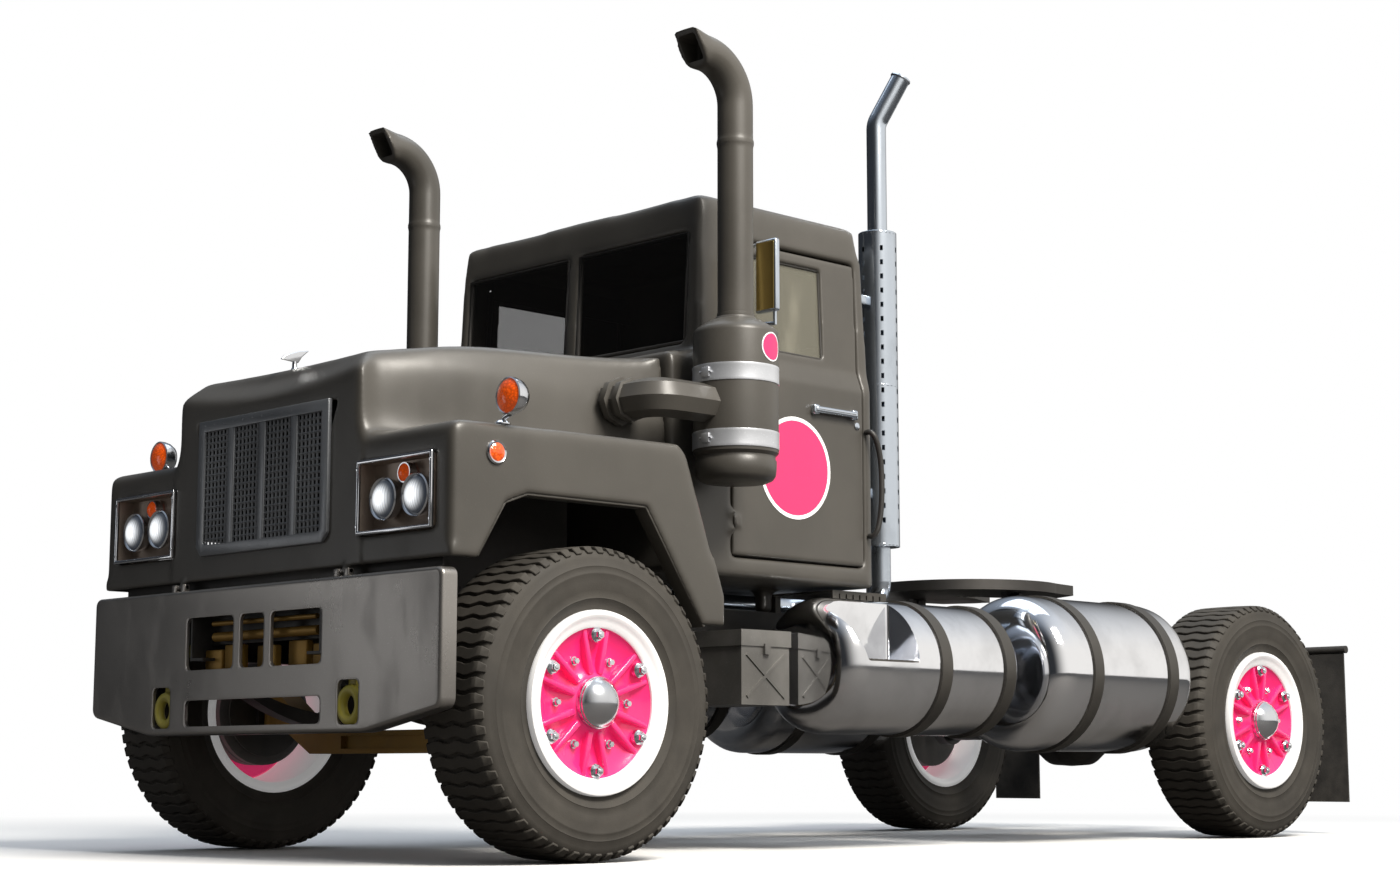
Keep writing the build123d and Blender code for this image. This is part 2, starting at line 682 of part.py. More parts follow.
with BuildPart() as intake_stacks:
    rod_z(stack_x, stack_y, canister_top + 50, 2760, intake_radius)
    rod_z(stack_x, stack_y, 2610, 2626, intake_radius + 3)
    bend = 172
    with BuildSketch(Plane.XY.offset(2760)):
        with Locations((stack_x, stack_y)):
            Circle(intake_radius)
    revolve(axis=Axis((stack_x, stack_y - bend, 2760), (1, 0, 0)), revolution_arc=90)
    mouth_y = stack_y - bend
    with BuildSketch(Plane.XZ.offset(-mouth_y)):
        with Locations((stack_x, 2760 + bend)):
            Circle(intake_radius)
    with BuildSketch(Plane.XZ.offset(-(mouth_y - 110))):
        with Locations((stack_x, 2760 + bend + 4)):
            RectangleRounded(124, 134, 12)
    loft()
    with BuildSketch(Plane.YZ):
        with BuildLine():
            Polyline((mouth_y - 300, 3020), (mouth_y - 108, 3020), (mouth_y - 4, 2840), (mouth_y - 300, 2840),
                     close=True)
        make_face()
    extrude(amount=2 * stack_x, mode=Mode.SUBTRACT)
    mirror(about=Plane.YZ)
keep("intake_stacks", intake_stacks.part)

# Mirrors on each door, on two arms
mirror_y = door_front + 95
mirror_post = (cab_half + 117, mirror_y + 17)
mirror_low, mirror_high = canister_top + 115, door_top - 18
with BuildPart() as mirror_left:
    block(cab_half + 40, cab_half + 200, mirror_y, mirror_y + 34, mirror_low, mirror_high)
    for foot_y, arm_z in ((door_front + 30, mirror_low - 38), (mirror_y + 17, mirror_high - 12)):
        rod_between((cab_half_upper - 24, foot_y, arm_z), (*mirror_post, arm_z), 8)
    rod_z(*mirror_post, mirror_low - 46, mirror_high - 4, 8)
    add(door_left.part, mode=Mode.SUBTRACT)
keep("mirror_left", mirror_left.part)

with BuildPart() as mirror_right:
    add(mirror(mirror_left.part, about=Plane.YZ, mode=Mode.PRIVATE))
keep("mirror_right", mirror_right.part)

with BuildPart() as grab_handles:
    grab_y = door_rear + 23
    rod_z(cab_half + 36, grab_y, 1215, 1650, 11)
    for z in (1235, 1630):
        rod_x(cab_half, cab_half + 36, grab_y, z, 10)
    mirror(about=Plane.YZ)
keep("grab_handles", grab_handles.part)


def hood_form(inset):
    """The hood's outline drawn in by an inset: a tapered nose over two squared fenders."""
    front, rear = hood_front + inset, hood_rear + 30
    with BuildPart(mode=Mode.PRIVATE) as form:
        section_table = [  # y, half width at the top edge, at the shoulder, edge height, crown height
            (front + 70, nose_half - 70, 585, nose_top - 30, nose_top),
            (rear, cowl_half - 20, cowl_half + 10, cowl_top - 25, cowl_top + 25),
        ]
        for y, top_half, foot_half, edge_z, crown_z in section_table:
            with BuildSketch(Plane.XZ.offset(-y)):
                with BuildLine():
                    Polyline((-foot_half + inset, 1200), (-foot_half + inset, fender_top),
                             (-top_half + inset, edge_z - inset))
                    ThreePointArc((-top_half + inset, edge_z - inset), (0, crown_z - inset),
                                  (top_half - inset, edge_z - inset))
                    Polyline((top_half - inset, edge_z - inset), (foot_half - inset, fender_top),
                             (foot_half - inset, 1200))
                    Line((foot_half - inset, 1200), (-foot_half + inset, 1200))
                make_face()
        loft(ruled=True)
        with BuildSketch(Plane.XZ.offset(-front)):
            with BuildLine():
                Polyline((-580 + inset, hood_bottom), (-580 + inset, fender_top),
                         (-nose_half + inset, nose_top - 105), (nose_half - inset, nose_top - 105),
                         (580 - inset, fender_top), (580 - inset, hood_bottom), close=True)
            make_face()
        with BuildSketch(Plane.XZ.offset(-(front + 70))):
            with BuildLine():
                Polyline((-585 + inset, hood_bottom), (-585 + inset, fender_top),
                         (-nose_half + 70 + inset, nose_top - 30 - inset),
                         (nose_half - 70 - inset, nose_top - 30 - inset),
                         (585 - inset, fender_top), (585 - inset, hood_bottom), close=True)
            make_face()
        loft(ruled=True)
        top = fender_top - inset
        with BuildSketch(Plane.YZ):
            with BuildLine():
                Polyline((front + 5, hood_bottom - inset), (front + 5, top - 25), (front + 35, top),
                         (400 - inset, top + 15), (440 - inset, top - 20), (660 - inset, fender_leg_bottom - inset),
                         (200, fender_leg_bottom - inset), (200, hood_bottom - inset), close=True)
            make_face()
        extrude(amount=fender_half - inset, both=True)
    return form.part


arch_table = [  # y, z of the wheel opening's outline
    (-505, hood_bottom - 40),
    (-505, hood_bottom - 4),
    (-388, arch_top - 34),
    (-295, arch_top),
    (240, arch_top),
    (530, fender_leg_bottom - 30),
]


def arch_face(grow):
    """The wheel opening's outline on the side plane, grown outwards by an amount."""
    with BuildSketch(Plane.YZ, mode=Mode.PRIVATE) as outline:
        with BuildLine():
            Polyline(*arch_table, (530, 500), (-505, 500), close=True)
        make_face()
        if grow:
            offset(amount=grow, kind=Kind.INTERSECTION)
    return outline.sketch


with BuildPart() as hood_shell:
    add(hood_form(0))
    add(hood_form(hood_wall), mode=Mode.SUBTRACT)
    extrude(arch_face(0), amount=fender_half + 50, both=True, mode=Mode.SUBTRACT)
    block(-big, big, hood_rear, big, 0, big, Mode.SUBTRACT)
    block(-900, 900, hood_front + 60, big, 0, arch_top, Mode.SUBTRACT)
    block(-390, 390, hood_front - 10, hood_front + 60, 1080, 1545, Mode.SUBTRACT)
    for side in (-1, 1):
        block(side * 568, side * 968, hood_front - 10, hood_front + 60, 1078, 1322, Mode.SUBTRACT)
        block(side * (hinge_x - 12), side * (hinge_x + 12), hood_pivot_y, hood_front + hood_wall,
              hood_pivot_z, hood_bottom)
        rod_x(side * (hinge_x - 12), side * (hinge_x + 12), hood_pivot_y, hood_pivot_z, 11)
        rod_x(side * (hinge_x - 13), side * (hinge_x + 13), hood_pivot_y, hood_pivot_z,
              7 + run_gap, Mode.SUBTRACT)
keep("hood_shell", hood_shell.part)

# Grille: a riveted surround with clipped lower corners over four slatted bays
grille_half, grille_low, grille_high = 402, 1066, 1558
bay_table = (-292, -97, 97, 292)    # middle of each bay
bay_width = 158
slat_count = 17
with BuildPart() as grille:
    with BuildSketch(Plane.XZ.offset(-hood_front)):
        with BuildLine():
            Polyline((-grille_half + 30, grille_low), (grille_half - 30, grille_low),
                     (grille_half, grille_low + 34), (grille_half, grille_high), (-grille_half, grille_high),
                     (-grille_half, grille_low + 34), close=True)
        make_face()
    extrude(amount=14)
    with BuildSketch(Plane.XZ.offset(-hood_front + 20)):
        for bay_x in bay_table:
            with Locations((bay_x, (grille_low + grille_high) / 2)):
                with GridLocations(0, 24.6, 1, slat_count):
                    Rectangle(bay_width, 15)
    extrude(amount=-40, mode=Mode.SUBTRACT)
keep("grille", grille.part)

# Headlamp units: a bezel with two round lamps and a small marker above them
lamp_table = [  # x, z, radius of each lens
    (668, 1172, 76),
    (866, 1172, 76),
    (767, 1272, 26),
]
with BuildPart() as headlamps:
    block(560, 976, hood_front - 14, hood_front, 1070, 1330)
    block(574, 962, hood_front - 15, hood_front - 8, 1084, 1316, Mode.SUBTRACT)
    block(572, 964, hood_front, hood_front + 40, 1082, 1318)
    for x, z, radius in lamp_table:
        rod_y(x, hood_front - 20, hood_front, z, radius)
        dome(x, hood_front - 20, z, radius, radius * 0.3, (0, -1, 0))
    mirror(about=Plane.YZ)
    add(hood_shell.part, mode=Mode.SUBTRACT)
keep("headlamps", headlamps.part)

# Stalk lamps on the fenders and round markers on their sides
with BuildPart() as fender_lamps:
    stalk_y, lamp_x, lamp_z = -364, 1062, 1517
    rod_z(1000, stalk_y, fender_top, 1470, 10)
    rod_x(1000, lamp_x, stalk_y, 1470, 10)
    rod_z(lamp_x, stalk_y, 1465, 1480, 12)
    rod_y(lamp_x, stalk_y - 34, stalk_y + 34, lamp_z, 55)
    dome(lamp_x, stalk_y - 34, lamp_z, 48, 22, (0, -1, 0))
    rod_x(fender_half, fender_half + 16, -438, 1326, 40)
    mirror(about=Plane.YZ)
    add(hood_shell.part, mode=Mode.SUBTRACT)
keep("fender_lamps", fender_lamps.part)

# Rubber ducts from the hood's sides to the air cleaners, which part from them when the hood tilts
duct_radius = 57
with BuildPart() as intake_ducts:
    duct_z, seal_gap = 1615, 6
    with BuildLine():
        FilletPolyline((600, 405, duct_z), (895, 405, duct_z), (905, stack_y - 60, duct_z), radius=85)
    with BuildSketch(Plane.YZ.offset(600)):
        with Locations((405, duct_z)):
            RegularPolygon(duct_radius, 8)
    sweep()
    add(hood_form(0), mode=Mode.SUBTRACT)
    rod_z(stack_x, stack_y, canister_bottom, canister_top, canister_radius + seal_gap, Mode.SUBTRACT)
    block(0, 2 * cab_half, hood_rear, big, 0, 1400, Mode.SUBTRACT)
    mirror(about=Plane.YZ)
keep("intake_ducts", intake_ducts.part)

# Steering knuckles with their spindles and arms
arm_x, arm_y = kingpin_x, 200    # both arms alike, so that the rod keeps parallel
eye_half = 60
with BuildPart() as knuckle_left:
    rod_z(kingpin_x, 0, wheel_z - eye_half - 20, wheel_z + eye_half + 20, 22)
    for z0 in (wheel_z - eye_half - 22, wheel_z + eye_half + 1):
        rod_z(kingpin_x, 0, z0, z0 + 21, 44)
        block(kingpin_x, 864, -40, 40, z0, z0 + 21)
    block(842, 866, -48, 48, wheel_z - eye_half - 22, wheel_z + eye_half + 22)
    rod_x(858, 866, 0, wheel_z, 170)
    rod_x(860, 1006, 0, wheel_z, spindle_radius)
    block(arm_x - 20, arm_x + 20, 0, arm_y, wheel_z - eye_half - 22, wheel_z - eye_half - 1)
    rod_z(arm_x, arm_y, wheel_z - eye_half - 22, wheel_z - eye_half - 1, 24)
    rod_z(arm_x, arm_y, wheel_z - eye_half - 58, wheel_z - eye_half - 22, 9)
keep("knuckle_left", knuckle_left.part)

with BuildPart() as knuckle_right:
    add(mirror(knuckle_left.part, about=Plane.YZ, mode=Mode.PRIVATE))
keep("knuckle_right", knuckle_right.part)

with BuildPart() as tie_rod:
    rod_low = wheel_z - eye_half - 55
    rod_x(-arm_x, arm_x, arm_y, rod_low + 14, 12)
    for side in (-1, 1):
        rod_z(side * arm_x, arm_y, rod_low, rod_low + 28, 24)
    for side in (-1, 1):
        rod_z(side * arm_x, arm_y, rod_low - 1, rod_low + 29, 9 + run_gap, Mode.SUBTRACT)
keep("tie_rod", tie_rod.part)

# Wheels: drawn once about the X axis, outer face towards +X
tread_half = tread_width / 2
section_half = section_width / 2
bead_half = 130
tyre_table = [  # x, radius down one side of the tyre, from the bead to the tread
    (bead_half, rim_radius + 0.4),
    (bead_half, 322),
    (section_half, 408),
    (section_half - 6, 470),
    (tread_half + 4, tyre_radius - 18),
    (tread_half - 8, tyre_radius - 2),
]
with BuildPart() as tyre_form:
    with BuildSketch(Plane.XY):
        with BuildLine():
            side_line = Polyline(*tyre_table)
            Line(side_line @ 1, (0, tyre_radius))
            Line((0, tyre_radius), (0, rim_radius + 0.4))
            Line((0, rim_radius + 0.4), side_line @ 0)
        make_face()
        mirror(about=Plane.YZ)
    revolve(axis=Axis.X)

disc_face = 118
with BuildPart() as rim_form:
    with BuildSketch(Plane.XY):
        with BuildLine():
            Polyline((-bead_half - 14, rim_radius - 16), (-bead_half - 14, rim_radius + rim_lip),
                     (-bead_half - 1, rim_radius + rim_lip), (-bead_half - 1, rim_radius),
                     (bead_half + 1, rim_radius), (bead_half + 1, rim_radius + rim_lip - 2),
                     (bead_half + 34, rim_radius + rim_lip - 2), (bead_half + 34, rim_radius - 10),
                     (bead_half - 12, rim_radius - 20), (disc_face, 110), (disc_face + 10, 92),
                     (disc_face + 10, spindle_radius + run_gap), (-57, spindle_radius + run_gap),
                     (-57, 70), (-62, drum_radius), (30, drum_radius), (40, 120), (disc_face - 16, 112),
                     (disc_face - 22, rim_radius - 16), close=True)
        make_face()
    revolve(axis=Axis.X)
    with BuildSketch(Plane.XY):
        with BuildLine():
            Polyline((disc_face + 6, 0), (disc_face + 6, 86), (disc_face + 44, 82), (disc_face + 44, 0), close=True)
        make_face()
    revolve(axis=Axis.X)
    dome(disc_face + 44, 0, 0, 80, 42, (1, 0, 0))
    with BuildSketch(Plane.YZ.offset(disc_face - 8)):
        for spoke in range(6):
            for spread in (-13, 13):
                with Locations(Location((0, 0), spoke * 60 + spread)):
                    with Locations((0, 176)):
                        Rectangle(20, 156)
    extrude(amount=24)
    with BuildSketch(Plane.YZ.offset(disc_face - 10)):
        with PolarLocations(240, 6, start_angle=90):
            RegularPolygon(19, 6)
        with PolarLocations(158, 6, start_angle=60):
            RegularPolygon(13, 6)
    extrude(amount=52)

wheel_table = [  # name, side, axle station
    ("front_left", 1, 0),
    ("front_right", -1, 0),
    ("rear_left", 1, wheelbase),
    ("rear_right", -1, wheelbase),
]
for name, side, station in wheel_table:
    for kind, form in (("tyre", tyre_form), ("rim", rim_form)):
        with BuildPart() as wheel_piece:
            add(form.part.moved(Location((track_half, station, wheel_z))))
            if side < 0:
                flipped = mirror(wheel_piece.part, about=Plane.YZ, mode=Mode.PRIVATE)
                add(flipped, mode=Mode.REPLACE)
        keep(kind + "_" + name, wheel_piece.part)

# Fifth wheel: a base on the rails and a plate that rocks on its two pins
pivot_z = plate_top - 65
with BuildPart() as fifth_wheel_base:
    block(-rail_outer, rail_outer, plate_y - 210, plate_y + 210, rail_top, rail_top + 12)
    with BuildSketch(Plane.YZ.offset(300)):
        with BuildLine():
            Polyline((plate_y - 160, rail_top + 12), (plate_y + 160, rail_top + 12), (plate_y + 28, pivot_z + 6),
                     (plate_y - 28, pivot_z + 6), close=True)
        make_face()
    extrude(amount=40)
    rod_x(256, 340, plate_y, pivot_z, 18)
    mirror(about=Plane.YZ)
keep("fifth_wheel_base", fifth_wheel_base.part)

with BuildPart() as fifth_wheel_plate:
    with BuildSketch(Plane.XY.offset(plate_top - plate_wall)):
        with Locations((0, plate_y)):
            Circle(plate_half)
        with BuildLine():
            Polyline((-plate_half, plate_y), (plate_half, plate_y), (plate_half - 60, plate_y + 330),
                     (plate_half - 200, plate_y + 400), (-plate_half + 200, plate_y + 400),
                     (-plate_half + 60, plate_y + 330), close=True)
        make_face()
        with BuildLine():
            Polyline((-34, plate_y + 58), (34, plate_y + 58), (46, plate_y + 150), (190, plate_y + 460),
                     (-190, plate_y + 460), (-46, plate_y + 150), close=True)
        make_face(mode=Mode.SUBTRACT)
        with Locations((0, plate_y)):
            Circle(kingpin_bore, mode=Mode.SUBTRACT)
    extrude(amount=plate_wall)
    for side in (-1, 1):
        block(side * 262, side * 296, plate_y - 45, plate_y + 45, pivot_z - 22, plate_top - plate_wall)
        rod_x(side * 261, side * 297, plate_y, pivot_z, 18 + run_gap, Mode.SUBTRACT)
keep("fifth_wheel_plate", fifth_wheel_plate.part)

# Mudflaps hung from bars behind the rear wheels, and tail lamps on the end plate
flap_y, flap_bar_z = wheelbase + 760, 875
with BuildPart() as mudflaps:
    rod_x(rail_outer, 1072, flap_y, flap_bar_z, 18)
    block(775, 1055, flap_y, flap_y + 8, 790, flap_bar_z)
    block(770, 1060, flap_y - 10, flap_y, 150, flap_bar_z - 20)
    mirror(about=Plane.YZ)
keep("mudflaps", mudflaps.part)

tail_lamp_rear = rail_rear + 26
with BuildPart() as tail_lamps:
    block(190, 330, rail_rear, tail_lamp_rear, 760, 860)
    mirror(about=Plane.YZ)
keep("tail_lamps", tail_lamps.part)

middle_y = (bumper_front + tail_lamp_rear) / 2
os.makedirs("parts", exist_ok=True)
for name, part in nodes:
    placed = part.moved(Location((0, -middle_y, 0)))
    placed.label = name
    export_step(placed, "parts/" + name + ".step")
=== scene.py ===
import json
from math import asin, atan2, cos, pi, radians, sin, tau

import bpy
from mathutils import Matrix, Vector


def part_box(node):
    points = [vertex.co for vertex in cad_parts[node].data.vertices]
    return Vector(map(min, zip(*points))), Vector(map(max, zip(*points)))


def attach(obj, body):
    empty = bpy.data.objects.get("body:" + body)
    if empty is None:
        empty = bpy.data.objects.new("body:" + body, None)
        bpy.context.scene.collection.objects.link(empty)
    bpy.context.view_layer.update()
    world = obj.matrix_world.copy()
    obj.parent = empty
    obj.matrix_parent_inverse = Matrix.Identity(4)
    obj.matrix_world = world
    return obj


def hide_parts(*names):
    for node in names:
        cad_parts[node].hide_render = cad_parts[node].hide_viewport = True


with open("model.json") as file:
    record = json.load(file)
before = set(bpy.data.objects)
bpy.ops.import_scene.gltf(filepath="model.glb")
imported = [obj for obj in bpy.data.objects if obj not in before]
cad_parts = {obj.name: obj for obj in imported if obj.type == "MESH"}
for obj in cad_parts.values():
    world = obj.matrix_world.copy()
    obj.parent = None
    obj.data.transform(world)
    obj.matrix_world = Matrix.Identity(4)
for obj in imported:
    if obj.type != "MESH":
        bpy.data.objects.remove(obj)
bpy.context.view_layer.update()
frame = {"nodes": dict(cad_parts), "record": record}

# Stations along the vehicle are counted from the front axle; all sizes are in metres
AXLE_Y = sum(corner.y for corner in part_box("rim_front_left")) / 2
WHEELBASE, HUB_X, HUB_Z = 4.08, 0.934, 0.525


def at(x, y, z):
    """A point given from the front axle, on the ground, in the middle plane."""
    return Vector((x, y + AXLE_Y, z))


# ---------------------------------------------------------------- materials

class Reading:
    """A value inside a finish. Operators on it add Math nodes."""

    def __init__(self, graph, socket):
        self.graph, self.socket = graph, socket

    def math(self, operation, *others):
        return self.graph.node("ShaderNodeMath", {"operation": operation}, dict(enumerate((self, *others))))

    def __add__(self, other):
        return self.math("ADD", other)

    def __sub__(self, other):
        return self.math("SUBTRACT", other)

    def __mul__(self, other):
        return self.math("MULTIPLY", other)

    def __pow__(self, other):
        return self.math("POWER", other)

    def __rsub__(self, other):
        return self * -1 + other

    __radd__, __rmul__ = __add__, __mul__

    def between(self, low, high):
        """0 below one level, 1 above another, smooth in the middle."""
        return self.graph.node("ShaderNodeMapRange", {"interpolation_type": "SMOOTHSTEP"},
                                {"Value": self, "From Min": low, "From Max": high})


class Graph:
    """A node tree that is built from readings."""

    def __init__(self, tree):
        self.tree = tree

    def node(self, kind, settings, values, output=0):
        """Adds a node: its settings first, then the values or links of its sockets."""
        made = self.tree.nodes.new(kind)
        for key, value in settings.items():
            setattr(made, key, value)
        for key, value in values.items():
            self.join(made.inputs[key], value)
        return Reading(self, made.outputs[output])

    def join(self, socket, value):
        if isinstance(value, Reading):
            self.tree.links.new(value.socket, socket)
        else:
            socket.default_value = value

    def tint(self, mask, colour_low, colour_high):
        """A colour that goes from one to the other with a mask."""
        values = {"Factor": mask}
        for key, colour in ((6, colour_low), (7, colour_high)):
            values[key] = colour if isinstance(colour, Reading) else (*colour, 1)
        return self.node("ShaderNodeMix", {"data_type": "RGBA"}, values, 2)


class Finish(Graph):
    """One procedural material round a Principled shader."""

    def __init__(self, name, **sockets):
        self.material = bpy.data.materials.new(name)
        self.material.use_nodes = True
        super().__init__(self.material.node_tree)
        self.shader = self.tree.nodes["Principled BSDF"]
        for socket, value in sockets.items():
            self.feed(socket.replace("_", " "), value)

    def feed(self, socket, value):
        self.join(self.shader.inputs[socket], value)

    def place(self, stretch=(1, 1, 1)):
        where = self.node("ShaderNodeTexCoord", {}, {}, "Object")
        if stretch == (1, 1, 1):
            return where
        return self.node("ShaderNodeMapping", {}, {"Vector": where, "Scale": stretch})

    def along(self, axis):
        return self.node("ShaderNodeSeparateXYZ", {}, {0: self.place()}, axis)

    def height(self):
        return self.along("Z")

    def noise(self, scale, detail=3.0, stretch=(1, 1, 1)):
        return self.node("ShaderNodeTexNoise", {},
                         {"Vector": self.place(stretch), "Scale": scale, "Detail": detail, "Roughness": 0.55})

    def cells(self, scale):
        """Distance from the nearest of many scattered points."""
        return self.node("ShaderNodeTexVoronoi", {}, {"Vector": self.place(), "Scale": scale}, "Distance")

    def relief(self, height, depth):
        """Bump on the surface, its depth in metres."""
        return self.node("ShaderNodeBump", {}, {"Height": height, "Distance": depth, "Strength": 1.0})


def shade(colour, factor):
    """A colour made darker or lighter."""
    return tuple(min(1.0, part * factor) for part in colour)


DUST = (0.16, 0.145, 0.125)


def coated(name, colour, gloss, spread=0.12, dust=0.25, dust_top=1.3, peel=0.0002, **sockets):
    """Paint with cloudy patches, fine specks, rubbed gloss and dust that thickens towards the road."""
    paint = Finish(name, **sockets)
    patches = paint.noise(2.3, 5.0).between(0.32, 0.68)
    specks = paint.noise(170, 2.0).between(0.60, 0.74)
    rubbed = paint.noise(9, 6.0, (1, 1, 0.35)).between(0.48, 0.75)
    low_down = 1 - paint.height().between(0.1, dust_top)
    film = (low_down * 0.8 + 0.2) * paint.noise(5, 6.0).between(0.35, 0.8) * dust
    base = paint.tint(patches, shade(colour, 1 - spread), shade(colour, 1 + spread))
    worn = paint.tint(specks * 0.35, base, shade(colour, 1.5))
    paint.feed("Base Color", paint.tint(film, worn, DUST))
    paint.feed("Roughness", rubbed * 0.10 + patches * 0.05 + film * 0.4 + gloss)
    paint.feed("Normal", paint.relief(paint.noise(260, 2.0), peel))
    return paint.material


def bare(name, colour, gloss, stretch=(1, 1, 1), streak=60, dust=0.1, depth=0.0001):
    """Bare metal with fine directional streaks, water marks and a little dust."""
    metal = Finish(name, Metallic=1.0)
    streaks = metal.noise(streak, 4.0, stretch)
    marks = metal.noise(3.5, 7.0).between(0.45, 0.7)
    pits = metal.cells(420).between(0.05, 0.16)
    film = metal.noise(6, 6.0).between(0.45, 0.85) * (1 - metal.height().between(0.2, 1.4)) * dust
    base = metal.tint(marks, colour, shade(colour, 0.84))
    metal.feed("Base Color", metal.tint(film, base, DUST))
    metal.feed("Roughness", streaks * 0.09 + marks * 0.07 + film * 0.5 + (1 - pits) * 0.04 + gloss)
    metal.feed("Normal", metal.relief(streaks, depth))
    return metal.material


def lens(name, colour):
    """Moulded lens plastic with a faint grid of prisms."""
    plastic = Finish(name, Coat_Weight=0.6, Emission_Color=(*colour, 1), Emission_Strength=0.25)
    prisms = plastic.cells(110)
    plastic.feed("Base Color", plastic.tint(prisms.between(0.1, 0.7), shade(colour, 1.25),
                                            shade(colour, 0.6)))
    plastic.feed("Roughness", plastic.noise(14, 4.0) * 0.12 + 0.08)
    plastic.feed("Normal", plastic.relief(prisms, 0.0012))
    return plastic.material


def grained(name, colour, gloss, scale, depth, dust=0.3, dust_top=1.0):
    """Moulded rubber, plastic or hide: cells for the grain, with worn high spots."""
    soft = Finish(name)
    grain = soft.cells(scale)
    clouds = soft.noise(4.5, 6.0).between(0.3, 0.7)
    film = soft.noise(11, 7.0).between(0.3, 0.8) * (1 - soft.height().between(0.0, dust_top) * 0.6) * dust
    base = soft.tint(clouds, shade(colour, 0.82), shade(colour, 1.2))
    soft.feed("Base Color", soft.tint(film, soft.tint(grain.between(0.0, 0.6), shade(colour, 0.7), base),
                                      DUST))
    soft.feed("Roughness", clouds * 0.08 + grain * 0.1 + film * 0.25 + gloss)
    soft.feed("Normal", soft.relief(grain + soft.noise(90, 3.0) * 0.5, depth))
    return soft.material


def tinted(name, colour, alpha):
    """Window glass with a faint wipe haze."""
    pane = Finish(name, Alpha=alpha)
    haze = pane.noise(6, 5.0, (1, 1, 0.4)).between(0.5, 0.8)
    pane.feed("Base Color", pane.tint(haze, colour, shade(colour, 1.8)))
    pane.feed("Roughness", haze * 0.06 + 0.02)
    return pane.material


def lit(name, centres):
    """Lamp glass that glows round each centre, ribbed from top to bottom."""
    glass = Finish(name, Coat_Weight=0.5, Emission_Strength=1.1)
    across, up = glass.along("X").math("ABSOLUTE"), glass.height()
    off = [((across - x) ** 2 + (up - z) ** 2) ** 0.5 for x, z in centres]
    ribs = (across * 620).math("SINE").between(0.2, 0.9)
    bright = (1 - off[0].math("MINIMUM", off[1]).between(0.016, 0.058)) * (1 - ribs * 0.35)
    glass.feed("Base Color", glass.tint(bright, (0.16, 0.19, 0.25), (0.9, 0.92, 1.0)))
    glass.feed("Emission Color", glass.tint(bright, (0.0, 0.0, 0.0), (0.95, 0.98, 1.0)))
    glass.feed("Roughness", ribs * 0.1 + 0.06)
    glass.feed("Normal", glass.relief(ribs, 0.0006))
    return glass.material


FINISHES = {
    "frame_paint": coated("chassis_black", (0.022, 0.021, 0.020), 0.42, dust=0.5),
    "bumper_metal": coated("bumper_grey", (0.30, 0.285, 0.27), 0.27, spread=0.05, dust=0.04, Metallic=0.8),
    "tow_yellow": coated("tow_yellow", (0.42, 0.36, 0.04), 0.35, dust=0.3),
    "axle_gold": coated("axle_gold", (0.30, 0.17, 0.03), 0.38, dust=0.3, Metallic=0.5),
    "cast_metal": coated("engine_cast", (0.05, 0.048, 0.045), 0.6, dust=0.4, peel=0.0008),
    "radiator_metal": bare("radiator_core", (0.10, 0.10, 0.10), 0.45, (1, 1, 6), 90),
    "polished_metal": bare("tank_polish", (0.84, 0.85, 0.88), 0.03, (1, 0.04, 1), 26, dust=0.02,
                           depth=0.00001),
    "strap_metal": coated("strap_grey", (0.060, 0.056, 0.050), 0.38, dust=0.3, Metallic=0.4),
    "box_metal": coated("box_grey", (0.20, 0.195, 0.185), 0.34, spread=0.3, dust=0.4, Metallic=0.4),
    "chrome_pipe": bare("pipe_chrome", (0.60, 0.66, 0.74), 0.16, (1, 1, 0.1), 50, dust=0.02),
    "body_paint": coated("satin_charcoal", (0.066, 0.061, 0.053), 0.36, dust=0.10, Coat_Weight=0.12,
                         Coat_Roughness=0.3),
    "tinted_glass": tinted("door_glass", (0.26, 0.25, 0.20), 0.34),
    "black_plastic": grained("trim_plastic", (0.02, 0.02, 0.02), 0.55, 260, 0.0003, dust=0.1),
    "seat_leather": grained("seat_hide", (0.07, 0.05, 0.04), 0.5, 180, 0.0006, dust=0.05),
    "black_rubber": grained("duct_rubber", (0.028, 0.026, 0.024), 0.55, 220, 0.0004),
    "red_lens": lens("red_lens", (0.42, 0.02, 0.012)),
    "grille_metal": coated("grille_metal", (0.21, 0.22, 0.235), 0.30, spread=0.1, dust=0.1, Metallic=0.45),
    "lamp_chrome": bare("lamp_chrome", (0.72, 0.74, 0.78), 0.09, (1, 1, 1), 30),
    "amber_lens": lens("amber_lens", (0.85, 0.10, 0.006)),
    "mirror_metal": bare("mirror_metal", (0.16, 0.155, 0.145), 0.3),
    "coupling_steel": bare("coupling_steel", (0.10, 0.095, 0.09), 0.42, (1, 0.3, 1), 30, dust=0.3),
    "tyre_rubber": grained("tyre_rubber", (0.045, 0.040, 0.033), 0.66, 300, 0.0002, dust=0.14, dust_top=1.4),
    # The wheel pink also glows faintly in its own colour: painted light that brightens the wheel discs
    "wheel_pink": coated("wheel_pink", (0.88, 0.024, 0.18), 0.20, spread=0.06, dust=0.03, Coat_Weight=0.4,
                         Emission_Color=(0.9, 0.02, 0.17, 1), Emission_Strength=0.2),
}
# The wheel white also glows faintly: painted light that keeps the wheel rims and the marks' rims bright
wheel_white_painted_glow = coated("wheel_white_painted_glow", (0.90, 0.90, 0.91), 0.30, spread=0.02, dust=0.06, Coat_Weight=0.3,
                     Emission_Color=(1.0, 1.0, 1.0, 1), Emission_Strength=0.20)
sticker_pink = coated("sticker_pink", (0.80, 0.036, 0.16), 0.36, spread=0.03, dust=0.02)
mirror_silver = bare("mirror_silver", (0.62, 0.46, 0.16), 0.05)
screen_glass = tinted("screen_glass", (0.010, 0.009, 0.008), 0.42)
rear_glass = tinted("rear_glass", (0.010, 0.009, 0.008), 0.95)
